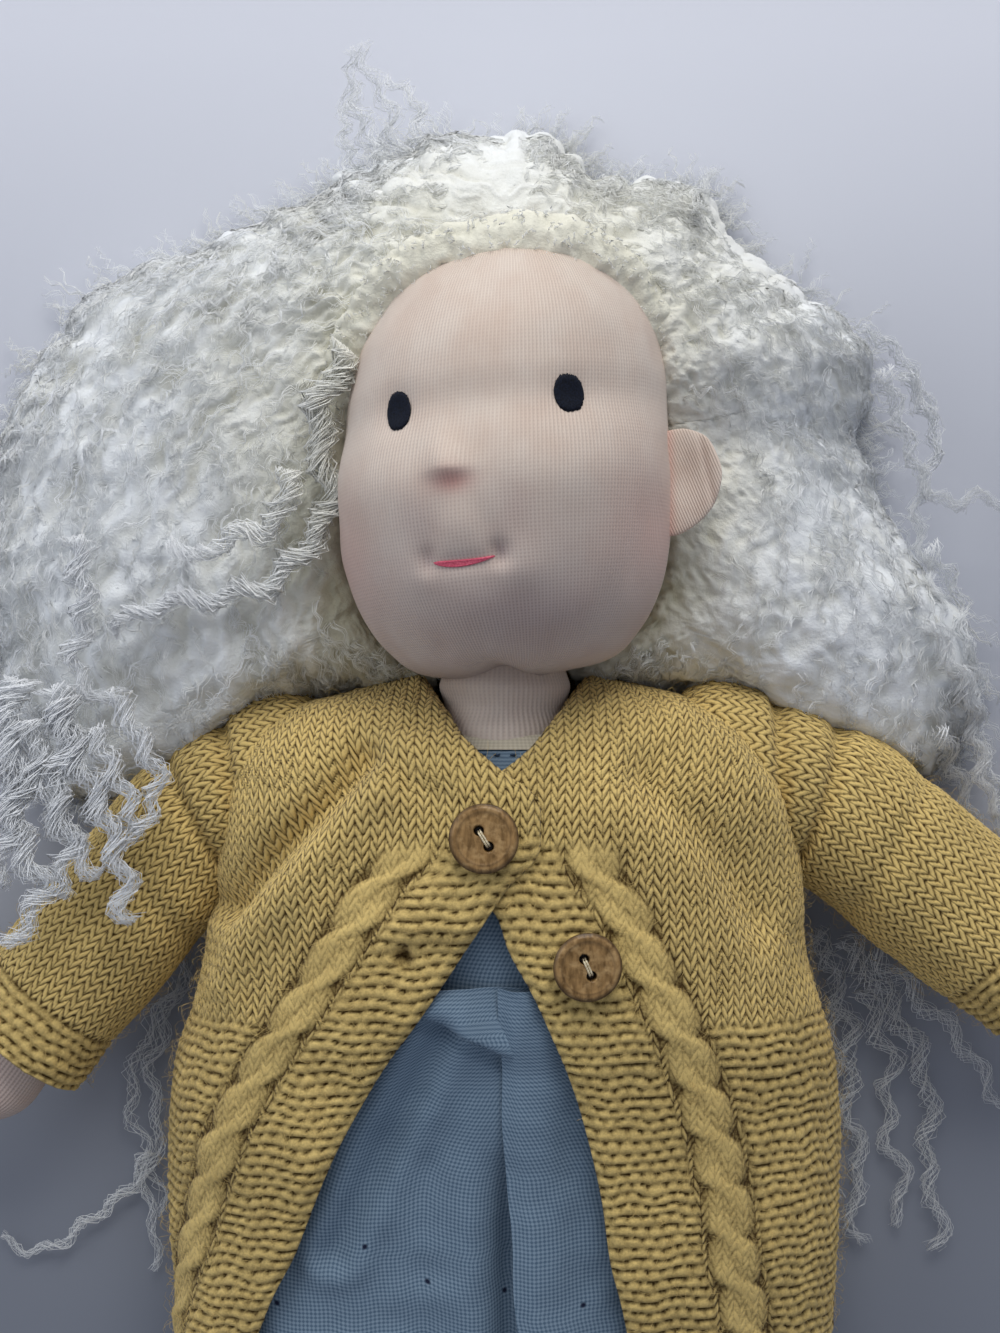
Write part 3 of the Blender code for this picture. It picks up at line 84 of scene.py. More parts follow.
# %% [markdown]
# ## Tools
# Points are worked out in millimetres round the doll's neck: X to its left, Y towards
# its head and Z out of its front, with the table at Z = 0. `build_mesh` moves them into
# the model's frame, in metres. Tables hold shares of a size, read on a smooth curve through them.


# %% Curves and noise
def smooth_rows(rows, steps):
    """Rows joined by Catmull-Rom curves: p = (2b + (c-a)t + (2a-5b+4c-d)t^2 + (3b-a-3c+d)t^3)/2."""
    rows = np.array(rows, float)
    padded = np.vstack([2 * rows[0] - rows[1], rows, 2 * rows[-1] - rows[-2]])
    a, b, c, d = (padded[k:len(padded) - 3 + k, None, :] for k in range(4))
    t = (np.arange(steps) / steps)[None, :, None]
    made = (2 * b + (c - a) * t + (2 * a - 5 * b + 4 * c - d) * t**2
            + (3 * b - a - 3 * c + d) * t**3) / 2
    return np.vstack([made.reshape(-1, rows.shape[1]), rows[-1:]])


def read(rows, along):
    """Every column of a table at the places along it, with straight lines between rows."""
    return [np.interp(along, rows[:, 0], rows[:, k]) for k in range(1, rows.shape[1])]


def power(values, p):
    """sign(v) |v|^(2/p), which squares off a circle's cosine and sine."""
    return np.sign(values) * np.abs(values) ** (2 / p)


def smoothstep(low, high, values):
    """t t (3 - 2t), where t goes from 0 at low to 1 at high."""
    t = np.clip((values - low) / (high - low), 0, 1)
    return t * t * (3 - 2 * t)


def bell(values, width):
    """exp(-(v / width)^2)."""
    return np.exp(-(values / width) ** 2)


def noise(points, size, seed=0):
    """Value noise from -1 to 1: random numbers at a lattice's corners, blended by t t (3 - 2t)."""
    scaled = np.asarray(points) / size + 1000.0
    corner = np.floor(scaled).astype(np.int64)
    t = scaled - corner
    t = t * t * (3 - 2 * t)
    total = 0.0
    for dx in (0, 1):
        for dy in (0, 1):
            for dz in (0, 1):
                h = ((corner[..., 0] + dx) * 73856093 ^ (corner[..., 1] + dy) * 19349663
                     ^ (corner[..., 2] + dz) * 83492791 ^ (seed * 2654435761))
                h = ((h & 0xFFFFFFFF) ^ ((h & 0xFFFFFFFF) >> 13)) * 1274126177 & 0xFFFFFFFF
                h = (h ^ (h >> 16)) & 0xFFFF
                wx = t[..., 0] if dx else 1 - t[..., 0]
                wy = t[..., 1] if dy else 1 - t[..., 1]
                wz = t[..., 2] if dz else 1 - t[..., 2]
                total = total + wx * wy * wz * (h / 32767.5 - 1)
    return total
def run_along(line):
    """Real distances along a line of points, from its start."""
    return np.concatenate([[0], np.cumsum(np.linalg.norm(np.diff(line, axis=0), axis=1))])


def flat_noise(a, b, size, seed=0):
    """Noise over two coordinates, of the same shape or spread over each other."""
    a, b = np.broadcast_arrays(a, b)
    return noise(np.stack([a, b, np.zeros_like(a)], axis=-1), size, seed)


def line_distance(x, y, line):
    """The distance in the XY plane from each point to a line of straight pieces."""
    best = np.full(np.shape(x), np.inf)
    for (ax, ay), (bx, by) in zip(line[:-1], line[1:]):
        dx, dy = bx - ax, by - ay
        t = np.clip(((x - ax) * dx + (y - ay) * dy) / (dx * dx + dy * dy), 0, 1)
        best = np.minimum(best, np.hypot(x - ax - t * dx, y - ay - t * dy))
    return best


# %% Meshes
def build_mesh(name, points, face_groups, uv=None, values=None):
    """A mesh from whole arrays: points, groups of equal faces, a UV and named values."""
    mesh = bpy.data.meshes.new(name)
    corners = np.concatenate([g.ravel() for g in face_groups]).astype(np.int32)
    sizes = np.concatenate([np.full(len(g), g.shape[1]) for g in face_groups])
    mesh.vertices.add(len(points))
    mesh.vertices.foreach_set("co", (points * MM + SHIFT).astype(np.float32).ravel())
    mesh.loops.add(len(corners))
    mesh.loops.foreach_set("vertex_index", corners)
    mesh.polygons.add(len(sizes))
    mesh.polygons.foreach_set("loop_start", (np.cumsum(sizes) - sizes).astype(np.int32))
    mesh.polygons.foreach_set("use_smooth", np.ones(len(sizes), bool))
    mesh.update(calc_edges=True)
    if uv is not None:
        layer = mesh.uv_layers.new(name="UVMap")
        layer.data.foreach_set("uv", (uv[corners] * MM).astype(np.float32).ravel())
    for key, value in values.items():
        stored_values = mesh.attributes.new(key, "FLOAT", "POINT").data
        stored_values.foreach_set("value", value.astype(np.float32))
    mesh.validate()
    return mesh


def add_piece(name, mesh, material, body, replaces):
    """An object with the given material that rides on a body, or on None yet."""
    made = bpy.data.objects.new(name, mesh)
    bpy.context.scene.collection.objects.link(made)
    mesh.materials.append(material)
    if body:
        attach(made, body)
    if replaces:
        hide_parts(*replaces)
    return made


def round_turn(count):
    """Angles once round, from the lowest point back to it."""
    return np.linspace(-np.pi / 2, 1.5 * np.pi, count)


def grid_normals(grid):
    """Unit normals of a grid, from the cross product of its two directions."""
    n = np.cross(np.gradient(grid, axis=0), np.gradient(grid, axis=1))
    length = np.linalg.norm(n, axis=-1, keepdims=True)
    return n / np.maximum(length, 1e-12)


def normals_towards(grid, way):
    """The grid's normals, each turned to the side that way points to."""
    n = grid_normals(grid)
    return n * np.sign(np.sum(n * way, axis=-1))[..., None]


def lengths(grid):
    """Real distances along a grid: U across its columns and V down its rows."""
    across = np.linalg.norm(np.diff(grid, axis=1), axis=-1)
    down = np.linalg.norm(np.diff(grid, axis=0), axis=-1)
    u = np.concatenate([np.zeros((len(grid), 1)), np.cumsum(across, axis=1)], axis=1)
    v = np.concatenate([np.zeros((1, grid.shape[1])), np.cumsum(down, axis=0)], axis=0)
    return u, v


def surface(name, grid, material, body, replaces, out, uv=None, values={}):
    """A grid of points as a piece that faces away from out, a point inside it.

    UV and values are arrays over the grid, or whatever spreads over it.
    """
    shape = grid.shape[:2]
    i, j = np.meshgrid(np.arange(shape[0] - 1), np.arange(shape[1] - 1), indexing="ij")
    a = (i * shape[1] + j).ravel()
    faces = np.stack([a, a + 1, a + shape[1] + 1, a + shape[1]], axis=1)
    if np.sum(grid_normals(grid) * (grid - np.array(out))) > 0:
        faces = faces[:, ::-1]
    if uv is not None:
        uv = np.stack([np.broadcast_to(part, shape).ravel() for part in uv], axis=1)
    values = {key: np.broadcast_to(value, shape).ravel() for key, value in values.items()}
    mesh = build_mesh(name, grid.reshape(-1, 3), [faces], uv, values)
    return add_piece(name, mesh, material, body, replaces)


def cords(name, paths, radii, sides, material, body, replaces=(), values={}):
    """Tubes along k paths of n points: p + r (cos a side + sin a up), with closed ends."""
    k, n = paths.shape[:2]
    radii = np.broadcast_to(radii, (k, n))
    along = np.gradient(paths, axis=1)
    along /= np.maximum(np.linalg.norm(along, axis=-1, keepdims=True), 1e-12)
    pole = np.where(np.abs(along[..., 2:]) > 0.9, [[[1.0, 0, 0]]], [[[0, 0, 1.0]]])
    side = np.cross(along, pole)
    side /= np.linalg.norm(side, axis=-1, keepdims=True)
    up = np.cross(side, along)
    a = 2 * np.pi * np.arange(sides) / sides
    rings = (paths[:, :, None] + radii[..., None, None]
             * (np.cos(a)[:, None] * side[:, :, None] + np.sin(a)[:, None] * up[:, :, None]))
    start = (np.arange(k) * n * sides)[:, None, None]
    i = (np.arange(n - 1) * sides)[None, :, None]
    j = np.arange(sides)[None, None]
    nxt = (j + 1) % sides
    quads = np.stack([start + i + j, start + i + sides + j, start + i + sides + nxt,
                      start + i + nxt], axis=-1).reshape(-1, 4)
    first = start[:, 0] + np.arange(sides)[None]
    caps = np.concatenate([first, first[:, ::-1] + (n - 1) * sides])
    values = {key: np.repeat(np.broadcast_to(value, (k, n)).ravel(), sides)
              for key, value in values.items()}
    mesh = build_mesh(name, rings.reshape(-1, 3), [quads, caps], None, values)
    return add_piece(name, mesh, material, body, replaces)


# %% [markdown]
# ## Materials
# Every finish is worked out from the piece's own UV, a value stored on its points, or
# its object coordinates. An effect that several finishes share is a node group.

# %% Node helpers
def put(socket, value):
    """Links a Value to a socket, or sets the socket to a number or a colour."""
    if isinstance(value, Value):
        socket.id_data.links.new(value.socket, socket)
    else:
        socket.default_value = (*value, 1.0) if isinstance(value, tuple) else value


def new_node(tree, kind, *inputs, **settings):
    """A node with its first inputs filled in; returns its first output."""
    node = tree.nodes.new("ShaderNode" + kind)
    for key, setting in settings.items():
        setattr(node, key, setting)
    for socket, value in zip(node.inputs, inputs):
        put(socket, value)
    return Value(node.outputs[0])


class Value:
    """A node's output. Arithmetic with it adds Math nodes to its tree."""

    def __init__(self, socket):
        self.socket, self.tree = socket, socket.id_data

    def math(self, operation, *others, clamp=False):
        return new_node(self.tree, "Math", self, *others, operation=operation, use_clamp=clamp)

    def __add__(self, other):
        return self.math("ADD", other)

    def __sub__(self, other):
        return self.math("SUBTRACT", other)

    def __rsub__(self, other):
        return new_node(self.tree, "Math", other, self, operation="SUBTRACT")

    def __mul__(self, other):
        return self.math("MULTIPLY", other)

    def __pow__(self, other):
        return self.math("POWER", other)

    def __abs__(self):
        return self.math("ABSOLUTE")

    def remap(self, low, high, to_low=0.0, to_high=1.0):
        """From low..high to to_low..to_high, clamped."""
        return new_node(self.tree, "MapRange", self, low, high, to_low, to_high)

    def parts(self):
        """A vector's three parts."""
        node = new_node(self.tree, "SeparateXYZ", self).socket.node
        return [Value(part) for part in node.outputs]

    def scaled(self, amounts):
        """The vector times amounts, part by part."""
        made = new_node(self.tree, "Mapping", self)
        made.socket.node.inputs["Scale"].default_value = amounts
        return made

    def noise(self, scale, detail=3.0, rough=0.55):
        """A noise texture's value at this place, from 0 to 1."""
        made = new_node(self.tree, "TexNoise", self)
        for key, amount in (("Scale", scale), ("Detail", detail), ("Roughness", rough)):
            made.socket.node.inputs[key].default_value = amount
        return made

    def mix(self, a, b):
        """The colour a where this is 0 and b where it is 1."""
        return mix_node(self.tree, self, a, b, "MIX")


def mix_node(tree, factor, a, b, blend):
    """A colour mix of a and b."""
    node = tree.nodes.new("ShaderNodeMix")
    node.data_type, node.blend_type = "RGBA", blend
    for number, value in ((0, factor), (6, a), (7, b)):
        put(node.inputs[number], value)
    return Value(node.outputs[2])


def stored(shader, key):
    """A value stored on the piece's points."""
    node = shader.id_data.nodes.new("ShaderNodeAttribute")
    node.attribute_name = key
    return Value(node.outputs["Fac"])


def place(shader, kind="Object"):
    """The piece's own coordinates, of the kind Object or UV."""
    return Value(shader.id_data.nodes.new("ShaderNodeTexCoord").outputs[kind])


def new_group(name, **inputs):
    """An empty node group with Color and Height as outputs; returns it and its inputs.

    Each input is a number, or the word Vector or Color.
    """
    group = bpy.data.node_groups.new(name, "ShaderNodeTree")
    for label, kind in inputs.items():
        number = not isinstance(kind, str)
        socket = group.interface.new_socket(
            label, in_out="INPUT", socket_type="NodeSocket" + ("Float" if number else kind))
        if number:
            socket.default_value = kind
    for label, kind in (("Color", "Color"), ("Height", "Float")):
        group.interface.new_socket(label, in_out="OUTPUT", socket_type="NodeSocket" + kind)
    given = group.nodes.new("NodeGroupInput")
    return group, [Value(given.outputs[label]) for label in inputs]


def close_group(group, colour, height):
    made = group.nodes.new("NodeGroupOutput")
    put(made.inputs["Color"], colour)
    put(made.inputs["Height"], height)
    return group


def use_group(shader, group, **values):
    """Places a group beside a shader; returns its colour and its height."""
    node = shader.id_data.nodes.new("ShaderNodeGroup")
    node.node_tree = group
    for key, value in values.items():
        put(node.inputs[key], value)
    return Value(node.outputs["Color"]), Value(node.outputs["Height"])


def finish(name, roughness, sheen=0.0, coat=0.0):
    """A material; returns it and its Principled shader."""
    made = bpy.data.materials.new(name)
    made.use_nodes = True
    shader = made.node_tree.nodes["Principled BSDF"]
    shader.inputs["Roughness"].default_value = roughness
    shader.inputs["Sheen Weight"].default_value = sheen
    shader.inputs["Sheen Roughness"].default_value = 0.5
    shader.inputs["Coat Weight"].default_value = coat
    shader.inputs["Specular IOR Level"].default_value = 0.25
    return made, shader


def colour_and_bump(shader, colour, height, distance, strength):
    """Links the colour, and the height as a bump that is distance deep."""
    put(shader.inputs["Base Color"], colour)
    node = shader.id_data.nodes.new("ShaderNodeBump")
    node.inputs["Distance"].default_value = distance
    node.inputs["Strength"].default_value = strength
    put(node.inputs["Height"], height)
    put(shader.inputs["Normal"], Value(node.outputs[0]))


# %% Yarn: painted highlight on the crest of a stitch and painted shade between stitches, with fibres along it
STITCH_WIDTH, STITCH_HEIGHT = 3.2, 2.45
LEG_SLOPE = 2.3


def yarn_group():
    """Colour = dark to light by relief, painted shade in the hollows and painted highlight on the
    crests, mottled by noise; Height = fine fibres.

    Where Plain is 1, chevrons |cos pi (-V / height - slope off)| draw the legs of stocking stitch
    with painted shade between the legs, with off as the share of a stitch from the middle of its
    column.
    """
    group, (relief, at, cloth, plain, light, dark) = new_group(
        "yarn", Relief=1.0, Place="Vector", Cloth="Vector", Plain=0.0, Light="Color", Dark="Color")
    fibres = at.noise(1300.0, 4.0, 0.7)
    patches = at.noise(45.0)
    u, v, _ = cloth.parts()
    off = abs((u * (1 / MM / STITCH_WIDTH)).math("FRACT") - 0.5)
    legs = abs(((v * (-1 / MM / STITCH_HEIGHT) - off * LEG_SLOPE) * math.pi).math("COSINE"))
    legs = legs ** 0.7 * off.remap(0.0, 0.07, 0.45, 1.0)
    legs = (legs * off.remap(0.42, 0.5, 1.0, 0.35) - 0.62) * plain
    # The level paints shade between stitches and their legs, and highlight on their crests.
    level = (relief + legs * 0.85).math("ADD", (fibres - 0.5) * 1.25, clamp=True)
    shade = patches.remap(0.3, 0.7, 0.88, 1.10)
    grey = new_node(group, "CombineColor", shade, shade, shade)
    toned = mix_node(group, 1.0, level.mix(dark, light), grey, "MULTIPLY")
    return close_group(group, toned, fibres * 0.7 + legs)


YARN = yarn_group()


def yarn_finish(name, light, dark):
    material, shader = finish(name, 0.95, sheen=0.10)
    made = use_group(shader, YARN, Relief=stored(shader, "relief"), Place=place(shader),
                     Cloth=place(shader, "UV"), Plain=stored(shader, "plain"),
                     Light=light, Dark=dark)
    colour_and_bump(shader, *made, 0.35 * MM, 0.8)
    return material


OCHRE = yarn_finish("ochre_wool", (0.76, 0.56, 0.205), (0.065, 0.034, 0.005))
FUZZ = yarn_finish("ochre_fuzz", (0.74, 0.54, 0.20), (0.42, 0.27, 0.07))

# %% Tricot: fine wales with a pale crest and rows of tiny dark dots between them, painted highlight on the crests and painted shade between them
WALE = 1.07 * MM
COURSE = 0.80 * MM


def tricot_group():
    """Wales = sin along U, courses = sin along V; dots where both are low. Shade paints shade: a
    mauve-grey tone and deeper dots.
    """
    group, (at, blush, shade) = new_group("tricot", Place="Vector", Blush=0.0, Shade=0.0)
    u, v, _ = at.parts()
    wave = at.noise(900.0, 2.0)
    wale = (u * (2 * math.pi / WALE) + wave * 0.9).math("SINE").remap(-1, 1)
    course = (v * (2 * math.pi / COURSE)).math("SINE").remap(-1, 1)
    dots = ((1.0 - wale) * (1.0 - course)) ** 1.5
    base = at.noise(60.0).remap(0.35, 0.65).mix((0.68, 0.555, 0.46), (0.74, 0.64, 0.545))
    base = blush.mix(base, (0.66, 0.34, 0.28))
    # Painted shade: the stored shade mixes in a mauve-grey on the face, arms and legs, and deepens
    # the dots.
    base = (shade * 0.40).mix(base, (0.40, 0.31, 0.33))
    lined = ((1.0 - wale) * 0.16).mix(base, (0.42, 0.29, 0.24))
    dotted = (dots * (shade * 0.30 + 0.16)).mix(lined, (0.20, 0.13, 0.12))
    return close_group(group, dotted, wale + course * 0.12)


SKIN, skin_shader = finish("skin_tricot", 0.9, sheen=0.15)
skin_look = use_group(skin_shader, tricot_group(), Place=place(skin_shader, "UV"),
                      Blush=stored(skin_shader, "blush"), Shade=stored(skin_shader, "shade"))
colour_and_bump(skin_shader, *skin_look, 0.18 * MM, 0.7)

# %% Chambray: a fine diamond lattice in two blues, with stray dark specks
LATTICE = 1.9 * MM


def weave_group():
    """Lattice = sin(a) sin(b) on the UV's diagonals; specks where a cell noise is rare."""
    group, (at, light, dark) = new_group("chambray", Place="Vector", Light="Color", Dark="Color")
    u, v, _ = at.parts()
    a = ((u + v) * (2 * math.pi / LATTICE)).math("SINE")
    b = ((u - v) * (2 * math.pi / LATTICE)).math("SINE")
    threads = at.scaled((1500.0, 260.0, 1.0)).noise(1.0)
    crossed = at.scaled((260.0, 1500.0, 1.0)).noise(1.0)
    weave = (threads + crossed) * 0.5
    level = ((a * b).remap(-0.5, 0.5) * 0.62).math("ADD", weave * 0.42, clamp=True)
    cells = group.nodes.new("ShaderNodeTexVoronoi")
    cells.voronoi_dimensions = "2D"
    cells.inputs["Scale"].default_value = 55.0
    put(cells.inputs["Vector"], at)
    near = Value(cells.outputs["Distance"]).remap(0.020, 0.045, 1.0, 0.0)
    chance = new_node(group, "SeparateColor", Value(cells.outputs["Color"]))
    speck = near * chance.math("GREATER_THAN", 0.60)
    return close_group(group, speck.mix(level.mix(dark, light), (0.01, 0.015, 0.04)), weave)


WEAVE = weave_group()


def cotton_finish(name, light, dark):
    material, shader = finish(name, 0.85)
    made = use_group(shader, WEAVE, Place=place(shader, "UV"), Light=light, Dark=dark)
    colour_and_bump(shader, *made, 0.12 * MM, 0.6)
    return material


CHAMBRAY = cotton_finish("chambray", (0.28, 0.375, 0.465), (0.050, 0.100, 0.160))
BINDING = cotton_finish("cream_binding", (0.70, 0.64, 0.50), (0.52, 0.46, 0.34))


# %% Hair, threads and coconut
def hair_finish(name, light, cream, dark):
    """Dark to light by the stored relief, which on the masses is painted shade in the hollows and
    by the nape, cream where warm, with soft patches and fine fibres.
    """
    material, shader = finish(name, 0.85, sheen=0.2)
    at = place(shader)
    patches = (at.noise(60.0) - 0.5) * 0.25
    level = stored(shader, "relief").math("ADD", patches, clamp=True)
    lit = stored(shader, "warm").mix(light, cream)
    colour_and_bump(shader, level.mix(dark, lit), at.noise(1500.0, 3.0, 0.65), 0.5 * MM, 0.6)
    return material


HAIR = hair_finish("white_mohair", (0.86, 0.885, 0.89), (0.83, 0.805, 0.66), (0.50, 0.475, 0.34))
CURLS = hair_finish("white_curls", (0.92, 0.94, 0.955), (0.92, 0.905, 0.79), (0.78, 0.77, 0.68))


def thread_finish(name, light, dark, roughness=0.55):
    """Twisted thread: two tones by a fine noise along it."""
    material, shader = finish(name, roughness)
    twist = place(shader).noise(2600.0, 2.0)
    colour_and_bump(shader, twist.remap(0.35, 0.65).mix(dark, light), twist, 0.15 * MM, 0.7)
    return material


NAVY = thread_finish("navy_thread", (0.006, 0.010, 0.024), (0.001, 0.002, 0.006), 0.75)
PINK = thread_finish("pink_thread", (0.80, 0.17, 0.24), (0.62, 0.08, 0.14), 0.8)
CREAM = thread_finish("cream_thread", (0.80, 0.72, 0.52), (0.52, 0.42, 0.25))
DARK_BLUE = thread_finish("dark_blue_thread", (0.06, 0.11, 0.19), (0.02, 0.045, 0.09))
WHITE = thread_finish("white_thread", (0.82, 0.82, 0.80), (0.60, 0.60, 0.58))
WOOL = thread_finish("wool_stuffing", (0.78, 0.73, 0.62), (0.60, 0.54, 0.44), 0.9)

# Coconut shell: streaks of light and dark brown, pale blots and a darker edge; the stored relief
# also paints the buttons' holes near-black, painted shade inside them.
COCONUT, shell = finish("coconut", 0.42, coat=0.15)
streaks = place(shell).scaled((900.0, 260.0, 400.0)).noise(1.0, 4.0)
brown = streaks.remap(0.35, 0.65).mix((0.14, 0.075, 0.022), (0.34, 0.20, 0.075))
brown = place(shell).noise(420.0, 4.0).remap(0.50, 0.70).mix(brown, (0.44, 0.28, 0.12))
brown = stored(shell, "relief").mix((0.022, 0.011, 0.005), brown)
colour_and_bump(shell, brown, streaks, 0.3 * MM, 0.5)
print("materials", len(bpy.data.materials))
# %% [markdown]
# ## The head
# The head is a loft of ovals read from a table: half width, front and back depth at each
# height. The face is pushed out and drawn in by soft bells: a nose, the valley of the
# tied eye line, cheeks, and the dimples where the mouth's thread goes in.

# %% The head's own frame and its shape
HEAD_WIDTH, HEAD_HEIGHT = 72, 98
HEAD_FRONT, HEAD_BACK = 42, 40
HEAD_CENTRE = np.array([0, 54, 49.16])
HEAD_ROLL, HEAD_YAW = math.radians(5), math.radians(-9)
EYE_RISE = 8.1
EYES = {"left": (21.0, 5.7, 7.8), "right": (-15.1, 5.7, 8.0)}
MOUTH = np.array([-3.2, -24.4])
NOSE = np.array([-4.0, -5.0])
HEAD_ROWS = smooth_rows((
    (0.00, 0.00, 0.00, 0.00), (0.03, 0.55, 0.42, 0.38), (0.09, 0.77, 0.64, 0.56),
    (0.18, 0.92, 0.83, 0.75), (0.28, 0.99, 0.94, 0.87), (0.40, 1.01, 1.00, 0.96),
    (0.50, 1.00, 0.985, 0.99), (0.58, 0.98, 0.955, 1.00), (0.66, 0.965, 0.955, 0.99),
    (0.76, 0.89, 0.89, 0.92), (0.86, 0.73, 0.73, 0.76), (0.94, 0.50, 0.49, 0.50),
    (0.985, 0.25, 0.24, 0.25), (1.00, 0.00, 0.00, 0.00)), 12)


def head_to_doll(points):
    """Rolls points about the head's centre, then turns them about the neck's upright line."""
    c, s = math.cos(HEAD_ROLL), math.sin(HEAD_ROLL)
    x = points[..., 0] * c - points[..., 1] * s
    y = points[..., 0] * s + points[..., 1] * c + HEAD_CENTRE[1]
    z = points[..., 2] + HEAD_CENTRE[2] - NECK_Z
    c, s = math.cos(HEAD_YAW), math.sin(HEAD_YAW)
    return np.stack([x * c + z * s, y, -x * s + z * c + NECK_Z], axis=-1)


def lean(y):
    """The head's upper part is stuffed a little towards its left."""
    return 6.5 * smoothstep(-30, 60, y)


def head_point(turn, along, grow=0.0):
    """x = w cos a + lean, z = front or back sin a, y = the height along the head, all grown."""
    wide, front, back = read(HEAD_ROWS, along)
    depth = np.where(np.sin(turn) > 0, front * (HEAD_FRONT + grow), back * (HEAD_BACK + grow))
    y = -HEAD_HEIGHT / 2 - grow + along * (HEAD_HEIGHT + 2 * grow) + 0 * turn
    return np.stack([wide * (HEAD_WIDTH / 2 + grow) * np.cos(turn) + lean(y), y,
                     depth * np.sin(turn)], axis=-1)


def face_relief(x, y):
    """The face's hills and hollows as a height over the plain oval, by bells in x and y."""
    nx, ny = x - NOSE[0], y - NOSE[1]
    h = 2.7 * bell(nx + 0.1 * ny, 4.2) * bell(ny, np.where(ny < 0, 2.4, 6.0))
    dy = y - EYE_RISE - 0.5
    h -= 0.5 * bell(dy, np.where(dy > 0, 12, 6.5))
    h += 0.8 * bell(dy + 11, 7.5) * smoothstep(2, 12, np.abs(nx))
    for side, name in ((1, "left"), (-1, "right")):
        ex, ey = x - EYES[name][0], y - EYE_RISE
        h -= 0.9 * bell(ex, 4.0) * bell(ey, 5.0)
        h += 0.9 * bell(ex - side * 1, 10) * bell(ey + 17, 9)
        mx, my = x - MOUTH[0] - side * 7.6, y - MOUTH[1] - 1.2
        h -= (1.9 if side > 0 else 1.3) * bell(mx, 1.7) * bell(my, 2.3)
        h += 0.8 * bell(mx - side * 3, 4.6) * bell(my + 3.0, 5)
        groove = bell(mx + side * 0.30 * my, 2.6)
        h -= 0.55 * groove * smoothstep(-1, 2, my) * smoothstep(15, 4, my)
    mx, my = x - MOUTH[0], y - MOUTH[1]
    h -= 0.8 * bell(mx, 8) * bell(my, 1.8)
    h += 0.7 * bell(mx, 7) * bell(my - 7, 5)
    h += 1.1 * bell(mx, 12) * bell(my + 9, 6)
    h -= 3.2 * bell(x + 2.6, 5.0) * bell(y + 48.0, 3.6)
    for at_x, at_y, tall, wide, deep in (
            (24, -34, 9, 2.2, 0.35), (31, -24, 10, 2.4, 0.35), (-24, -36, 8, 2.4, 0.3),
            (12, -42, 5, 2.0, 0.3), (-12, -42, 5, 2.2, 0.3)):
        dx, dy = x - at_x, y - at_y
        h -= deep * bell(dx - 0.25 * dy, wide) * bell(dy, tall)
    return h


def face_surface(turn, along, sink=0.0):
    """The skin with its relief on the front, or what lies at a depth under it."""
    base = head_point(turn, along, -sink)
    n = base - np.stack([lean(base[..., 1]), 0.7 * base[..., 1], 0 * turn * along], axis=-1)
    n = n / np.maximum(np.linalg.norm(n, axis=-1, keepdims=True), 1e-9)
    h = face_relief(base[..., 0], base[..., 1]) * smoothstep(0.05, 0.5, np.sin(turn))
    h = h + 0.25 * noise(base, 9, 3)
    return base + n * h[..., None]


def on_face(x, y, lift):
    """Points on the face over x and y in its plane, standing lift off the skin."""
    along = (y + HEAD_HEIGHT / 2) / HEAD_HEIGHT
    wide = read(HEAD_ROWS, along)[0] * HEAD_WIDTH / 2
    placed = face_surface(np.arccos(np.clip((x - lean(y)) / wide, -1, 1)), along)
    return placed + np.array([0, 0, 1]) * lift[..., None]


# %% The face over its wound inner head
turn, along = np.meshgrid(round_turn(250), np.linspace(0.004, 0.996, 180))
skin = face_surface(turn, along)
x, y, in_front = skin[..., 0], skin[..., 1], np.sin(turn) > 0
girth = (turn - np.pi / 2) * HEAD_WIDTH / 2 * 1.28
cheeks = 0.85 * bell(x - NOSE[0] - 0.5, 4.4) * bell(y - NOSE[1] + 3.0, 2.4)
for at_x, amount in ((-33, 0.42), (36, 0.50)):
    cheeks = cheeks + amount * bell(x - at_x, 9) * bell(y + 21, 13)
# Painted shade: the lower face darkens, with darker patches beside the nose, at the dimples and
# below the mouth.
painted_face_shade = 0.75 * smoothstep(2, -40, y)
for at_x, at_y, wide, tall, amount in (
        (-11.6, -14.5, 4.2, 6.5, 0.45), (8.4, -14.5, 4.0, 6.5, 0.40), (4.6, -23.0, 1.3, 1.6, 0.9),
        (-10.8, -23.4, 1.3, 1.6, 0.6), (8.0, -36.0, 15.0, 6.5, 0.55)):
    spot = bell(x - at_x, wide) * bell(y - at_y, tall)
    painted_face_shade = painted_face_shade + amount * spot
looks = {"blush": cheeks * in_front, "shade": np.clip(painted_face_shade, 0, 1.4) * in_front}
face = surface("face_skin", head_to_doll(skin), SKIN, "head", ["head_skin"],
               HEAD_CENTRE, (girth, run_along(skin[:, 125])[:, None]), looks)
turn, along = np.meshgrid(round_turn(90), np.linspace(0.01, 0.99, 70))
core = surface("wound_wool", head_to_doll(face_surface(turn, along, 1.8)), WOOL, "head",
               ["inner_head"], HEAD_CENTRE)
turn = np.linspace(0, 2 * np.pi, 73)
ring = face_surface(turn, 0 * turn + 0.595, 1.2)[None]
cords("eye_line_cord", head_to_doll(ring), 0.5, 6, WHITE, "head",
      ["eye_line_thread"])
print("face", len(face.data.polygons), "core", len(core.data.polygons))

# %% The ears: flat flaps with a soft rim
EAR_LINE = smooth_rows((
    (0, 0.0, 11.3), (1, 4.0, 11.6), (2, 8.6, 9.6), (3, 11.2, 4.8), (4, 11.9, 0.8),
    (5, 10.4, -4.4), (6, 7.4, -8.2), (7, 3.2, -10.9), (8, 0.0, -11.5), (9, -3.0, -10.0),
    (10, -4.0, 0.0), (11, -3.0, 10.0), (12, 0.0, 11.3)), 8)


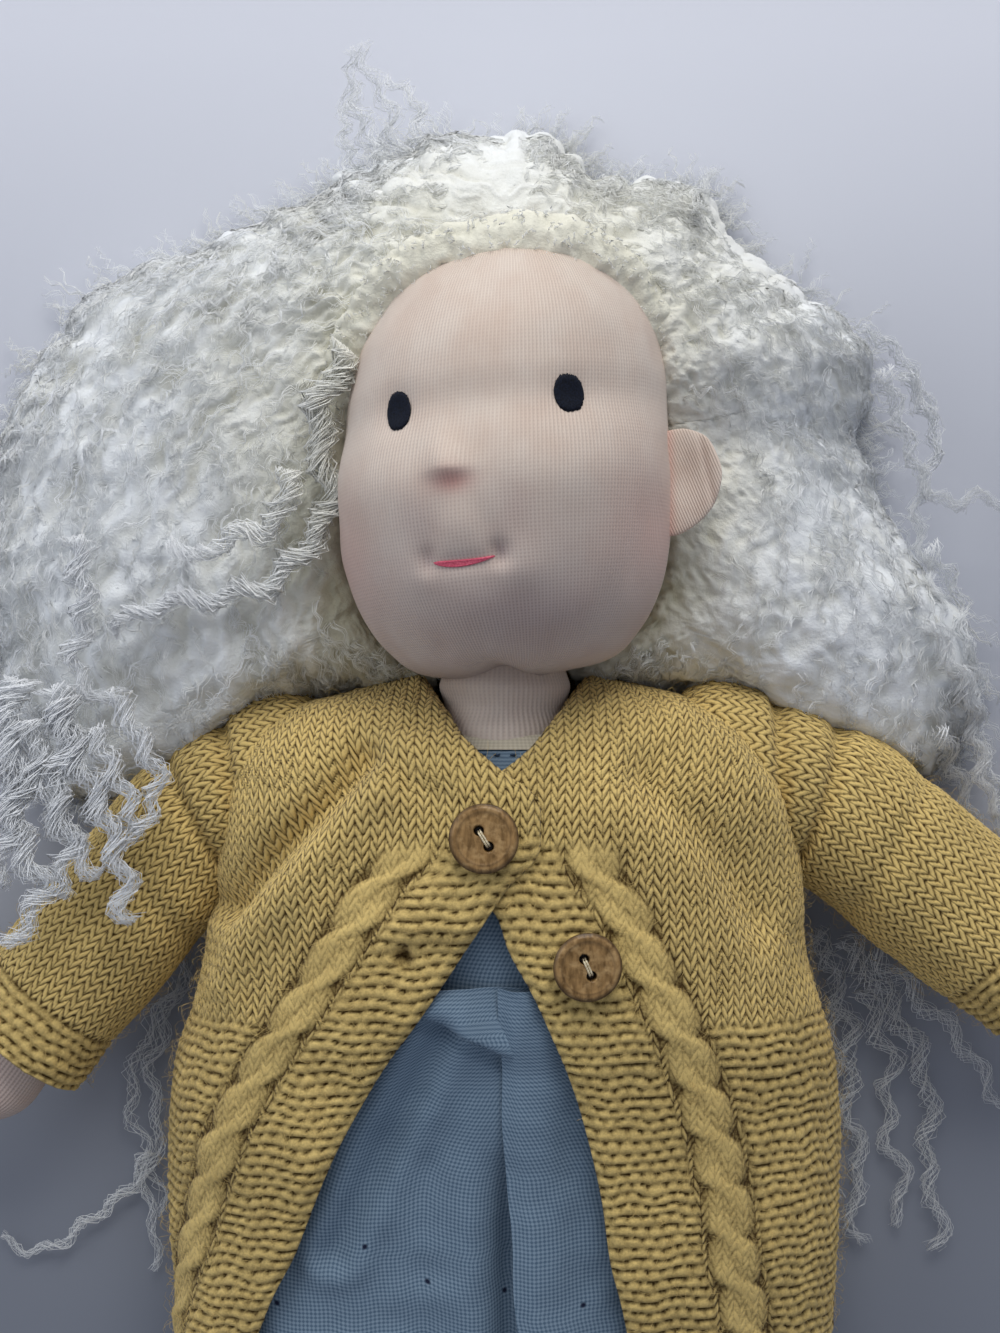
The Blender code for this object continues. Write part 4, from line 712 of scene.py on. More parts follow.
def ear(side, name):
    """Rings of the flap's outline drawn in to its middle, rounded off at the rim."""
    fold = np.linspace(0, np.pi, 41)[:, None]
    share = np.sin(fold) ** 0.8
    x, y = 4.0 + (EAR_LINE[:, 1] - 4.0) * share, EAR_LINE[:, 2] * share
    z = 1.25 * power(np.cos(fold), 2 / 0.45) - 1.0 * bell(x - 5.0, 3.6) * bell(y - 1, 6.0)
    z = z + 0.022 * x**2 - 0.5 * bell(x + y * 0.2 - 9.0, 0.8)
    droop = math.radians(4)
    tx = x * math.cos(droop) + y * math.sin(droop)
    ty = -x * math.sin(droop) + y * math.cos(droop)
    root = HEAD_WIDTH / 2 - 0.2
    flap = np.stack([side * (root + tx) + lean(-9), ty - 9.0, z + 0.8], axis=-1)
    middle = head_to_doll(np.array([side * (root + 4), -9, 0.8]))
    rim = 0.55 * smoothstep(2.6, 0, x) + 0.04
    made = surface(name + "_ear_skin", head_to_doll(flap), SKIN, "head",
                   [name + "_ear"], middle, (x * 1.7 + y * 0.7, y * 1.7 - x * 0.7),
                   {"blush": rim, "shade": 0})
    return made


ears = [ear(1, "left"), ear(-1, "right")]


# %% Embroidered eyes and mouth
def eye(name):
    """Satin stitch: upright threads side by side over an oval, their ends a little ragged."""
    middle, width, height = EYES[name]
    count = 30
    across = np.linspace(-1, 1, count)[:, None] * 0.97
    half = height / 2 * (1 - np.abs(across) ** 2.5) ** (1 / 2.5)
    half = half * (1 + 0.025 * rng.standard_normal((count, 1)))
    t = np.linspace(-1, 1, 12)[None]
    x = middle + across * width / 2 * (1 - 0.06 * t**2)
    x = x + 0.03 * t * rng.standard_normal((count, 1))
    y = EYE_RISE + t * half + 0.05 * rng.standard_normal((count, 1))
    dome = 0.75 * np.sqrt(np.clip(1 - t**2, 0, 1)) * np.sqrt(1 - 0.8 * across**2)
    lift = 0.05 + dome + 0.06 * rng.random((count, 1))
    return cords(name + "_eye_stitches", head_to_doll(on_face(x, y, lift)), 0.15, 6, NAVY,
                 "head", [name + "_eye"])


eyes = [eye(name) for name in EYES]
t = np.linspace(-1, 1, 26)[None]
rows = np.array([-0.62, -0.3, 0.0, 0.3])[:, None]
x = MOUTH[0] + t * 6.2 + rows * 0.4
y = MOUTH[1] + rows * (1 - t**2) * (1 - 0.35 * t) + 0.55 * t**2
lift = 0.22 - 0.45 * t**8 + 0 * x
mouth = cords("mouth_stitches", head_to_doll(on_face(x, y, lift)), 0.24, 6, PINK, "head",
              ["mouth"])
print("eyes and mouth", sum(len(o.data.polygons) for o in (*eyes, mouth)))

# %% The neck, with its ribs and folds
NECK_RADIUS = 13.7
angle, up = np.meshgrid(round_turn(160), np.linspace(-9.5, 19, 62))
folds = 0.5 * np.sin(up / 2.3 + 1.2 * np.sin(2 * angle))
radius = NECK_RADIUS + folds + 0.5 * bell(up - 4, 2)
radius = radius + 2.8 * smoothstep(0, -6, up)
grid = np.stack([radius * np.cos(angle), up, NECK_Z + radius * np.sin(angle)], axis=-1)
neck = surface("neck_skin", grid, SKIN, "torso", ["neck", "neck_tie_thread"],
               (0, 0, NECK_Z), (angle * 14, up), {"blush": 0.02, "shade": 0})

# %% [markdown]
# ## Knitted wool
# Each stitch is part of a height field over real lengths on the cloth: U across and V
# down. Stocking stitch is two slanting legs in each column, garter stitch is rows of
# bumps set half a stitch apart, and a cable is two strands that cross in turn.

# %% Stitch patterns as heights from 0 to 1
def stocking(u, v):
    """Chevrons: h = |cos pi (-v / height - slope off)|^0.7, off as the share from the middle."""
    c = u / STITCH_WIDTH
    off = np.abs(c - np.floor(c) - 0.5)
    legs = np.abs(np.cos(np.pi * (-v / STITCH_HEIGHT - LEG_SLOPE * off))) ** 0.7
    return 0.25 + 0.75 * legs * (1 - 0.45 * bell(off, 0.07)) * (1 - 0.6 * bell(off - 0.5, 0.07))


def garter(u, v, wide=3.3, high=2.5):
    """Bumps like bricks, each row set half a stitch aside."""
    r = v / high + 0.13 * np.sin(u / 1.9) + 0.20 * flat_noise(u, v, 4.5, 7)
    row = np.floor(r)
    c = u / wide + 0.5 * np.mod(row, 2) + 0.16 * flat_noise(u, v, 4, 8)
    x, y = 2 * (c - np.floor(c)) - 1, 2 * (r - row) - 1
    y = y + 0.36 * (1 - x * x) - 0.18
    loop = np.sqrt(np.clip(1 - 0.50 * x**2 - 0.90 * y**2, 0, 1))
    return loop * (0.93 + 0.12 * flat_noise(u, v, 2.4, 9))


def rope(u, v, half=6.1, turn=23.5):
    """Two strands at +-0.42 sin(p + 0.42 sin 2p) of the half width, p = 2 pi v / turn.

    cos p lifts one strand over the other.
    """
    best = np.zeros_like(u)
    for side in (-1, 1):
        phase = 2 * np.pi * v / turn
        off = u / half - side * 0.42 * np.sin(phase + 0.42 * np.sin(2 * phase))
        body = np.sqrt(np.clip(1 - (off / 0.58) ** 2, 0, 1))
        run = v + 0.75 * side * u * np.cos(phase)
        c = off / 0.29
        leg = np.abs(c - np.floor(c) - 0.5)
        t = run / 2.3 + 1.1 * leg
        stitch = 0.66 + 0.34 * np.sqrt(np.abs(np.sin(np.pi * t))) * (1 - 0.5 * bell(leg, 0.10))
        best = np.maximum(best, body * stitch * (0.78 + 0.22 * side * np.cos(phase)))
    return best


# %% [markdown]
# ## The cardigan
# It is one tube of ovals, read from a table from neckline to hem. Each front is a sheet
# from under the side, over the body and round its own front edge.

# %% The cardigan's own tables
CARDIGAN_TOP, CARDIGAN_LENGTH, CARDIGAN_HALF = 7, 155, 78
TORSO_DEPTH, BACK_RISE, BAND_WIDTH = 54, 5.2, 15.5
KNIT, DRESS, GAP, EASE = 2.2, 1.0, 0.3, 3.5
CARDIGAN_DEPTH = TORSO_DEPTH + 2 * (DRESS + KNIT + GAP) + EASE
CARDIGAN_ROWS = smooth_rows((
    (0.00, 0.27, 4.10, 0.51), (0.03, 0.47, 3.00, 0.66), (0.055, 0.63, 2.10, 0.78),
    (0.10, 0.75, 1.25, 0.90), (0.18, 0.82, 1.00, 0.98), (0.32, 0.86, 1.00, 1.00),
    (0.42, 0.88, 1.00, 0.99), (0.50, 0.93, 0.75, 0.99), (0.58, 0.98, 0.25, 0.97),
    (0.70, 1.00, 0.00, 0.93), (0.85, 1.00, 0.00, 0.86), (1.00, 1.00, 0.00, 0.78)), 10)
RIGHT_EDGE = smooth_rows((
    (0.00, -0.235), (0.05, -0.155), (0.10, -0.09), (0.135, -0.01), (0.17, 0.085),
    (0.21, 0.095), (0.25, 0.085), (0.29, 0.01), (0.33, -0.045), (0.40, -0.135), (0.48, -0.24),
    (0.57, -0.36), (0.66, -0.46), (0.74, -0.53), (0.83, -0.60), (0.90, -0.67),
    (1.00, -0.75)), 4)
LEFT_EDGE = smooth_rows((
    (0.00, 0.235), (0.05, 0.145), (0.09, 0.08), (0.12, 0.02), (0.15, -0.06),
    (0.19, -0.11), (0.27, -0.11), (0.33, -0.025), (0.38, 0.01), (0.44, 0.075),
    (0.50, 0.128), (0.58, 0.19), (0.66, 0.235), (0.74, 0.27), (0.83, 0.295),
    (0.90, 0.33), (1.00, 0.37)), 4)


def cardigan_point(along, angle, grow=0.0):
    """x = half c^(2/p), z = the middle height + rise s^(2/p), where c and s are cos and sin."""
    wide, drop, high = read(CARDIGAN_ROWS, along)
    half, low_z, tall = wide * CARDIGAN_HALF, GAP + drop * BACK_RISE, high * CARDIGAN_DEPTH
    top_z = np.minimum(low_z, GAP + BACK_RISE) + tall
    mid_z = low_z + 0.33 * (top_z - low_z)
    rise = power(np.sin(angle), 2.3)
    rise = rise * np.where(rise > 0, top_z - mid_z + grow, mid_z - low_z + grow)
    return np.stack([power(np.cos(angle), 2.3) * (half + grow),
                     CARDIGAN_TOP - along * CARDIGAN_LENGTH + 0 * angle, mid_z + rise], axis=-1)


def cardigan_angle(along, x):
    """The angle on the front where the cardigan is x from the centre line."""
    half = read(CARDIGAN_ROWS, along)[0] * CARDIGAN_HALF
    share = np.clip(x / half, -0.999, 0.999)
    return np.arccos(np.sign(share) * np.abs(share) ** (2.3 / 2))


def lap_lift(along):
    """The buttonhole band stands up where it laps over the button band."""
    rise = np.clip((along - 0.105) / 0.035 + 1, 0, 1)
    fall = np.clip((0.345 - along) / 0.035 + 1, 0, 1)
    return 2.5 * np.minimum(rise, fall)


def resampled(grid, step, reach):
    """Each row set out again at equal real lengths from its first column, up to reach."""
    u = lengths(grid)[0]
    at = np.arange(0.0, reach, step)
    rows = [np.stack([np.interp(at, u[k], grid[k, :, a]) for a in range(3)], axis=-1)
            for k in range(len(grid))]
    return np.array(rows), at


def front_pattern(u, v, across, down):
    """Stocking stitch over the yoke; below it garter stitch, a rope, stocking and garter stitch.

    Returns the height, the cloth's own U and V, and where plain chevrons show.
    """
    u, v = (u + 0.25 * flat_noise(u, v, 9, 5),
            v + 0.3 * flat_noise(u, v, 11, 6))
    across = across + 0.45 * flat_noise(across, v, 6, 3)
    v = v + 0.45 * flat_noise(across, v, 5, 4)
    plain = stocking(across, v)
    bricks = garter(across, v)
    below = smoothstep(33, 36, down + 1.5 * flat_noise(u, v, 12, 10) - 0.1 * u)
    low_part = smoothstep(74, 78, down)
    inside = smoothstep(21.3, 20.3, u) * below
    outside = smoothstep(34, 35.5, u) * low_part
    in_bricks = np.clip(inside + outside, 0, 1)
    body = plain * (1 - in_bricks) + bricks * in_bricks
    off = u - 28.0
    in_rope = smoothstep(6.6, 5.8, np.abs(off)) * below
    # The gutters beside the rope sink and are darker too: painted shade in them.
    gutter = bell(np.abs(off) - 7.0, 0.9) * below
    body = body * (1 - 0.4 * gutter)
    cable = (0.10 + 1.15 * rope(off, v)) * (0.85 + 0.15 * plain)
    body = body * (1 - in_rope) + cable * in_rope
    return body, across, v, (1 - in_bricks) * (1 - 0.6 * in_rope)


# For each side a valley and a ridge: its route in mm, its height and its width.
FOLDS = {
    1: ((((31, -14), (41, -24), (51, -35), (57, -46)), -4.6, 6.0),
        (((38, -3), (50, -11), (60, -24), (64, -35), (64, -46)), 1.6, 4.0)),
    -1: ((((-31, -10), (-41, -22), (-52, -33), (-63, -45)), -6.0, 3.6),
         (((-27, -18), (-42, -35), (-53, -47), (-62, -62)), 2.6, 4.5))}
STEP, FRONT_REACH = 0.55, 104
BUTTONHOLE = -21.5, -53.0


def drag_folds(x, y, side):
    """A valley and a ridge that run from the yoke to the armpit."""
    return sum(high * bell(line_distance(x, y, np.array(route)), wide)
               for route, high, wide in FOLDS[side])


def cardigan_front(side, name, edge_rows, band):
    """A front: sections from its edge out to under the side, pushed out by the stitches."""
    along = (np.arange(0, CARDIGAN_LENGTH, STEP) / CARDIGAN_LENGTH)[:, None]
    edge = np.interp(along, edge_rows[:, 0], edge_rows[:, 1]) * CARDIGAN_HALF
    first = cardigan_angle(along, edge)
    last = -0.55 if side > 0 else np.pi + 0.55
    angle = first + (last - first) * np.linspace(0, 1, 260)[None]
    base, at = resampled(cardigan_point(along, angle), STEP, FRONT_REACH)
    u, v = np.meshgrid(at, run_along(cardigan_point(along[:, 0], np.pi / 2)))
    n = grid_normals(base)
    n = n * np.sign(np.mean(n[..., 2]))
    x, y = base[..., 0], base[..., 1]
    h, u_cloth, v_cloth, plain = front_pattern(u, v, u + side * edge, CARDIGAN_TOP - y)
    hole = bell(np.hypot(x - BUTTONHOLE[0], (y - BUTTONHOLE[1]) * 0.8), 1.5)
    # The buttonhole sinks, and its low height paints shade into it.
    h = h * (1 - hole)
    form = 0.9 * noise(base, 24, 11) + 0.4 * noise(base, 11, 12)
    form = form + drag_folds(x, y, side) - 1.3 * bell(u, 1.6) - 2.6 * hole
    if side < 0:
        fade = smoothstep(BAND_WIDTH + 8, BAND_WIDTH - 2, u)
        form = form + lap_lift(along) * fade
    outer = base + n * (form + 1.05 * (h - 0.75))[..., None]
    roll = [outer[:, :1] - n[:, :1] * KNIT * deep + (outer[:, 3:4] - outer[:, :1]) * tuck
            for deep, tuck in ((0.9, 0.96), (0.5, 0.60), (0.15, 0.15))]
    u_cloth, v_cloth, plain = (np.concatenate([part[:, :3], part], axis=1)
                               for part in (u_cloth, v_cloth, plain))
    # The rolled-under edge gets a low relief: painted shade under the front edge.
    relief = np.concatenate([0.25 + 0 * h[:, :3], np.clip(h, 0, 1.3)], axis=1)
    made = surface(name + "_front_knit", np.concatenate([*roll, outer], axis=1), OCHRE, None,
                   [f"cardigan_{name}_front", band],
                   (side * 20, -60, 20), (u_cloth, v_cloth),
                   {"relief": relief, "plain": plain})
    return made, outer, n


def fuzz(name, grid, normals, count, body):
    """Loose wool fibres that leave the knit at a slant and curl back a little."""
    rows, columns = (rng.integers(4, size - 4, count) for size in grid.shape[:2])
    start, up = grid[rows, columns], normals[rows, columns]
    aside = rng.standard_normal((count, 3))
    aside = aside - up * np.sum(aside * up, axis=1)[:, None]
    aside = aside / np.linalg.norm(aside, axis=1)[:, None]
    bend = np.cross(up, aside) * rng.uniform(-0.7, 0.7, (count, 1))
    t = np.linspace(0, 1, 4)[None, :, None]
    long = rng.uniform(1.4, 3.6, (count, 1, 1))
    lift = rng.uniform(0.35, 0.95, (count, 1, 1))
    paths = start[:, None] + long * (aside[:, None] * t + bend[:, None] * t**2
                                     + up[:, None] * lift * np.sin(2.2 * t))
    return cords(name, paths, 0.032, 3, FUZZ, body, (),
                 {"relief": 0.9, "plain": 0})


HIP_DROP = 100


def follow_leg(made, leg):
    """Bakes the piece's placement into its points; it rides on no body. leg is not used."""
    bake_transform(made)


fronts = {"left": cardigan_front(1, "left", LEFT_EDGE, "button_band"),
          "right": cardigan_front(-1, "right", RIGHT_EDGE, "buttonhole_band")}
for name, (made, cloth, normals) in fronts.items():
    loose = fuzz(name + "_front_fuzz", cloth, normals, 1900, None)
    follow_leg(made, name + "_leg")
    follow_leg(loose, name + "_leg")
    print(made.name, len(made.data.polygons))
# %% Coconut buttons, each sewn on through its two holes
BUTTON_RADIUS, HOLE_REACH = 7.1, 1.95


def button(name, x, drop, lift, spin):
    """Rings of a turned disc: a raised rim, a sunk middle and two round holes to the cloth."""
    along = drop / CARDIGAN_LENGTH
    spot, beside, below = (cardigan_point(a, cardigan_angle(a, b), lift) for a, b in
                           ((along, x), (along, x + 1), (along + 0.01, x)))
    side_way = (beside - spot) / np.linalg.norm(beside - spot)
    out_way = np.cross(side_way, spot - below)
    out_way = out_way / np.linalg.norm(out_way)
    axes = np.stack([side_way, np.cross(out_way, side_way), out_way])
    a = np.linspace(0, 2 * np.pi, 121)
    circle = np.stack([np.cos(a), np.sin(a), 0 * a], axis=-1) * BUTTON_RADIUS
    share = np.linspace(0, 1, 34)[:, None]
    px, py = circle[:, 0] * share, circle[:, 1] * share
    c, s = math.cos(spin), math.sin(spin)
    hole = np.maximum(*(smoothstep(1.15, 0.9, np.hypot(px - reach * c, py - reach * s))
                        for reach in (-HOLE_REACH, HOLE_REACH)))
    top = 2.35 - 0.16 * smoothstep(0.80, 0.70, share) - 0.55 * smoothstep(0.86, 1.0, share) ** 2
    top = top + 0.04 * flat_noise(px, py, 0.7, 74)
    top = top - 0.05 * np.abs(flat_noise(px * 0.3 + py, py * 2.4, 0.5, 75))
    disc = np.stack([px, py, top - 1.9 * hole], axis=-1)
    wall = [(circle * k + np.array([0, 0, high]))[None]
            for k, high in ((1.03, 1.6), (1.0, 0.6), (0.85, 0.0))]
    # Painted shade: the holes are near-black; the tone is also darker along a ring and towards the
    # edge.
    tone = (1 - hole) * (1 - 0.35 * bell(share - 0.79, 0.03))
    tone = tone * (1 - 0.65 * smoothstep(0.93, 1, share))
    made = surface(name + "_disc", np.concatenate([disc, *wall]) @ axes + spot, COCONUT, "torso",
                   [name], spot + out_way,
                   values={"relief": np.concatenate([tone, np.full((3, len(a)), 0.35)])})
    t = np.linspace(-1, 1, 15)
    bows = []
    for aside in (-0.26, 0.24):
        reach = HOLE_REACH * np.clip(t * 1.12, -1, 1)
        high = 0.2 + 2.25 * (1 - np.abs(t) ** 6) - abs(aside) * 0.4
        bows.append(np.stack([reach * c - aside * s, reach * s + aside * c, high], axis=-1))
    cords(name + "_loop", np.array(bows) @ axes + spot, 0.22, 8, CREAM, "torso",
          [name + "_thread"])
    return made


buttons = [button("upper_button", -4.2, 34.5, 3.9, math.radians(-58)),
           button("lower_button", 16.7, 61.5, 1.6, math.radians(-66))]
print("buttons", sum(len(o.data.polygons) for o in buttons))

# %% The cardigan's back
angle, along = np.meshgrid(np.linspace(np.pi + 0.04, 2 * np.pi - 0.04, 150),
                           np.linspace(0, 1, 150))
base = cardigan_point(along, angle)
u, v = lengths(base)
h = stocking(u, v)
n = grid_normals(base)
n = n * -np.sign(np.mean(n[..., 2]))
back = surface("back_knit", base + n * (0.5 * (h - 1.0))[..., None], OCHRE, "torso",
               ["cardigan_back"], (0, -60, 30), (u, v),
               {"relief": h, "plain": 1})


# %% Sleeves, cuffs and arms
SHOULDER_X, SHOULDER_DROP, ARM_Z, ARM_LENGTH = 46, 16, 25.5, 114
ARM_RADIUS = 12.5
ARM_ROWS = smooth_rows((
    (0.00, 1.00, 1.00), (0.11, 1.00, 1.00), (0.30, 0.98, 0.98), (0.55, 0.90, 0.90),
    (0.74, 0.78, 0.78), (0.82, 0.86, 0.72), (0.91, 0.90, 0.66), (0.97, 0.62, 0.48),
    (0.995, 0.26, 0.22), (1.00, 0.02, 0.02)), 6)


def arm_line(distance):
    """The bent centre line: the direction turns smoothly by 30 degrees, summed up in steps."""
    fine = np.linspace(-20, ARM_LENGTH, 600)
    turn = -math.radians(30) * smoothstep(12, 38, fine)
    step = fine[1] - fine[0]
    x = np.cumsum(np.cos(turn) * step)
    y = np.cumsum(np.sin(turn) * step)
    x, y = x - np.interp(0, fine, x), y - np.interp(0, fine, y)
    return [np.interp(distance, fine, values) for values in (x, y, turn)]


def arm_to_doll(points, side):
    """Mirrors the arm for its side, turns it down by its droop and puts it on its shoulder."""
    droop = -math.radians(8.5 if side > 0 else 21)
    c, s = math.cos(droop), math.sin(droop)
    x, y = points[..., 0], points[..., 1]
    return np.stack([side * (x * c - y * s + SHOULDER_X), x * s + y * c - SHOULDER_DROP,
                     points[..., 2] + ARM_Z], axis=-1)


def arm_tube(distance, angle, flat, thick, sink=0.0):
    """Rings square to the centre line: flat across it and thick in height."""
    x, y, turn = arm_line(distance)
    off = flat * np.cos(angle)
    return np.stack([x + off * np.sin(turn), y - off * np.cos(turn),
                     thick * np.sin(angle) - sink + 0 * x], axis=-1)


def sleeve(side, name):
    """Stocking stitch round the arm with creases, then garter stitch for the cuff."""
    start, reach, cuff, sink = -12, 80, 14, 0.9
    distance = np.arange(start, reach + cuff, 0.58)[:, None]
    angle = round_turn(200)[None]
    dome = np.sqrt(np.clip(1 - (np.minimum(distance - 2, 0) / 14.5) ** 2, 0.003, 1))
    head = smoothstep(30, 6, distance)
    radius = np.interp(distance, (start, 14, reach), (18.0, 17.8, 16.6))
    radius = radius + (1.6 if side > 0 else 0.4)
    flat = (radius + 2.6 * head) * dome
    thick = (radius - 1.0 + 2.2 * head * (np.sin(angle) > 0)) * dome
    across, down = np.broadcast_arrays(angle * 17, distance)
    in_cuff = smoothstep(reach - 0.5, reach + 0.5, distance)
    v = down + 0.25 * flat_noise(across, down, 10, 21 + side)
    u = across + 0.2 * flat_noise(across, down, 8, 23)
    h = stocking(u, v) * (1 - in_cuff) + in_cuff * garter(across, v)
    # The join of sleeve and cuff sinks and is darker: painted shade in it.
    h = h * (1 - 0.5 * bell(distance - reach, 0.8))
    tube = arm_to_doll(arm_tube(distance, angle, flat, thick, sink), side)
    centre = arm_to_doll(arm_tube(distance, angle, 0.0, 0.0, sink), side)
    n = normals_towards(tube, tube - centre)
    form = 0.8 * noise(tube, 17, 31) + 0.4 * noise(tube, 8, 32)
    top = smoothstep(-0.3, 0.4, np.sin(angle))
    for at, deep, wide in ((16, 3.0, 1.9), (27, 2.4, 1.7), (46, 0.9, 3.0)):
        crease = bell(distance - at - 2.5 * np.cos(angle), wide)
        form = form - deep * crease * top
    outer = tube + n * (form + 0.95 * (h - 0.8))[..., None]
    fuzz(name + "_sleeve_fuzz", outer, n, 1300, name + "_arm")
    end = outer[-1:] - n[-1:] * 0.8 + (outer[-1:] - outer[-2:-1]) * 0.8
    inner = tube[-1:] - n[-1:] * KNIT
    grid = np.concatenate([outer, end, inner, inner + (tube[-10:-9] - tube[-1:])])
    # The cuff's turned-in end gets a low relief: painted shade inside the cuff.
    relief = np.concatenate([np.clip(h, 0, 1.3), 0.4 + 0 * h[:3]])
    plain = np.concatenate([1 - in_cuff + 0 * h, 0 * h[:3]])
    u, v = (np.concatenate([part, part[-3:]]) for part in (u, v))
    made = surface(name + "_sleeve_knit", grid, OCHRE, name + "_arm",
                   [name + "_sleeve", name + "_cuff"], centre[len(centre) // 2, 0], (u, v),
                   {"relief": relief, "plain": plain})
    return made


def arm(side, name):
    """The stuffed arm with its mitten hand."""
    distance = np.concatenate([np.linspace(-ARM_RADIUS, 0, 14)[:-1],
                               np.linspace(0, ARM_LENGTH, 150)])[:, None]
    angle = round_turn(90)[None]
    flat, thick = read(ARM_ROWS, np.clip(distance / ARM_LENGTH, 0, 1))
    dome = np.sqrt(np.clip(1 - (np.minimum(distance, 0) / ARM_RADIUS) ** 2, 0.0005, 1))
    base = arm_tube(distance, angle, flat * dome * ARM_RADIUS, thick * dome * ARM_RADIUS)
    base[..., 2] += 0.25 * noise(base, 7, 41)
    placed = arm_to_doll(base, side)
    made = surface(name + "_arm_skin", placed, SKIN, name + "_arm",
                   [name + "_arm"], placed[80].mean(axis=0), (angle * 12, distance),
                   {"blush": 0.12, "shade": 0.5})
    return made


arms = [arm(1, "left"), arm(-1, "right")]
sleeves = [sleeve(1, "left"), sleeve(-1, "right")]
print("sleeves", len(sleeves[0].data.polygons))

# %% [markdown]
# ## Trunk, dress and legs
# The trunk and the bodice are one table of ovals. The skirt hangs between the bodice's
# waist and the cardigan, with folds that deepen to the hem.

# %% Trunk and bodice
TORSO_ROWS = smooth_rows((
    (0.00, 0.36, 0.30, 0.78), (0.06, 0.62, 0.18, 0.86), (0.15, 0.88, 0.08, 0.94),
    (0.28, 0.99, 0.01, 0.99), (0.48, 0.98, 0.00, 1.00), (0.68, 0.90, 0.00, 0.95),
    (0.86, 0.95, 0.00, 0.90), (1.00, 0.96, 0.03, 0.81)), 8)
TORSO_WIDTH, TORSO_TOP, TORSO_LENGTH = 80, 4, 81
TORSO_Z = BACK_RISE + KNIT + DRESS + 1.2


def torso_point(along, angle, grow):
    wide, low, high = read(TORSO_ROWS, along)
    tall = (high - low) * TORSO_DEPTH
    mid = TORSO_Z + low * TORSO_DEPTH + 0.46 * tall
    rise = power(np.sin(angle), 2.2)
    rise = rise * (np.where(rise > 0, 0.54, 0.46) * tall + grow)
    return np.stack([power(np.cos(angle), 2.2) * (wide * TORSO_WIDTH / 2 + grow),
                     -TORSO_TOP - along * TORSO_LENGTH + 0 * angle, mid + rise], axis=-1)


BODICE_TOP, BODICE_END, STITCH_DROP = 8.5, 61, 10.6
angle, along = np.meshgrid(round_turn(120), np.linspace(0, 1, 90))
trunk = surface("trunk_skin", torso_point(along, angle, 0.0), SKIN, "torso",
                ["torso"], (0, -45, TORSO_Z + 25),
                (angle * 40, along * TORSO_LENGTH), {"blush": 0, "shade": 0})
angle, drop = np.meshgrid(round_turn(220), np.linspace(BODICE_TOP, BODICE_END, 70))
grid = torso_point((drop - TORSO_TOP) / TORSO_LENGTH, angle, 1.3)
grid[..., 2] += 0.5 * noise(grid, 12, 51) * (np.sin(angle) > 0)
bodice = surface("bodice_cloth", grid, CHAMBRAY, "torso", ["dress_bodice"],
                 (0, -35, TORSO_Z + 25), lengths(grid))
angle, lift = np.meshgrid(round_turn(300), np.linspace(-0.5, 1, 13))
edge = torso_point((BODICE_TOP - TORSO_TOP) / TORSO_LENGTH, angle, 1.5)
middle = edge.mean(axis=(0, 1))
puff = 0.5 * np.sin(np.pi * np.clip(lift, 0, 1)) + 0.08 * np.sin(angle * 60)
grid = middle + (edge - middle) * (1 - 0.10 * lift + puff / 38)[..., None]
grid[..., 1] = edge[..., 1] + lift * 2.1
binding = surface("neck_binding_cloth", grid, BINDING, "torso",
                  ["neck_binding"], middle, (angle * 30, lift * 3))
angle = np.linspace(0.2 * np.pi, 0.8 * np.pi, 22)[:, None] + np.linspace(-0.017, 0.017, 5)
running = torso_point((STITCH_DROP - TORSO_TOP) / TORSO_LENGTH, angle, 1.5)
running[..., 2] += 0.25 * np.cos(np.linspace(-1.4, 1.4, 5))
cords("running_stitch", running, 0.22, 6, DARK_BLUE, "torso")

# %% The skirt
SKIRT_ROWS = smooth_rows((
    (0.00, 0.00, 0.985), (0.07, 0.26, 0.965), (0.18, 0.60, 0.93), (0.35, 0.80, 0.85),
    (0.60, 0.90, 0.75), (1.00, 1.00, 0.64)), 8)
SKIRT_TOP, SKIRT_LENGTH, SKIRT_HALF = 60.3, 128, 71


def skirt_point(along, angle, grow):
    """Between the waist and the hem it widens by the table; folds = depth cos(8 angle)."""
    flare, high = read(SKIRT_ROWS, along)
    drop = SKIRT_TOP + along * SKIRT_LENGTH
    wide, low, _ = read(CARDIGAN_ROWS, (CARDIGAN_TOP + drop) / CARDIGAN_LENGTH)
    low_z = GAP + low * BACK_RISE + KNIT + GAP
    tall = high * (TORSO_DEPTH + 4.4)
    mid = 0.42 * tall
    waist = TORSO_WIDTH / 2 + 1.3
    fold = 2.2 * np.minimum(1, 3 * along) * np.cos(8 * angle)
    fold = np.where(np.sin(angle) > 0, fold, 0.0)
    across = power(np.cos(angle), 2.2) * (waist + flare * (SKIRT_HALF - waist) + grow + fold)
    rise = power(np.sin(angle), 2.2)
    rise = rise * np.where(rise > 0, tall - mid + grow + fold, mid + grow)
    return np.stack([across, -drop + 0 * angle, low_z + mid + rise], axis=-1)


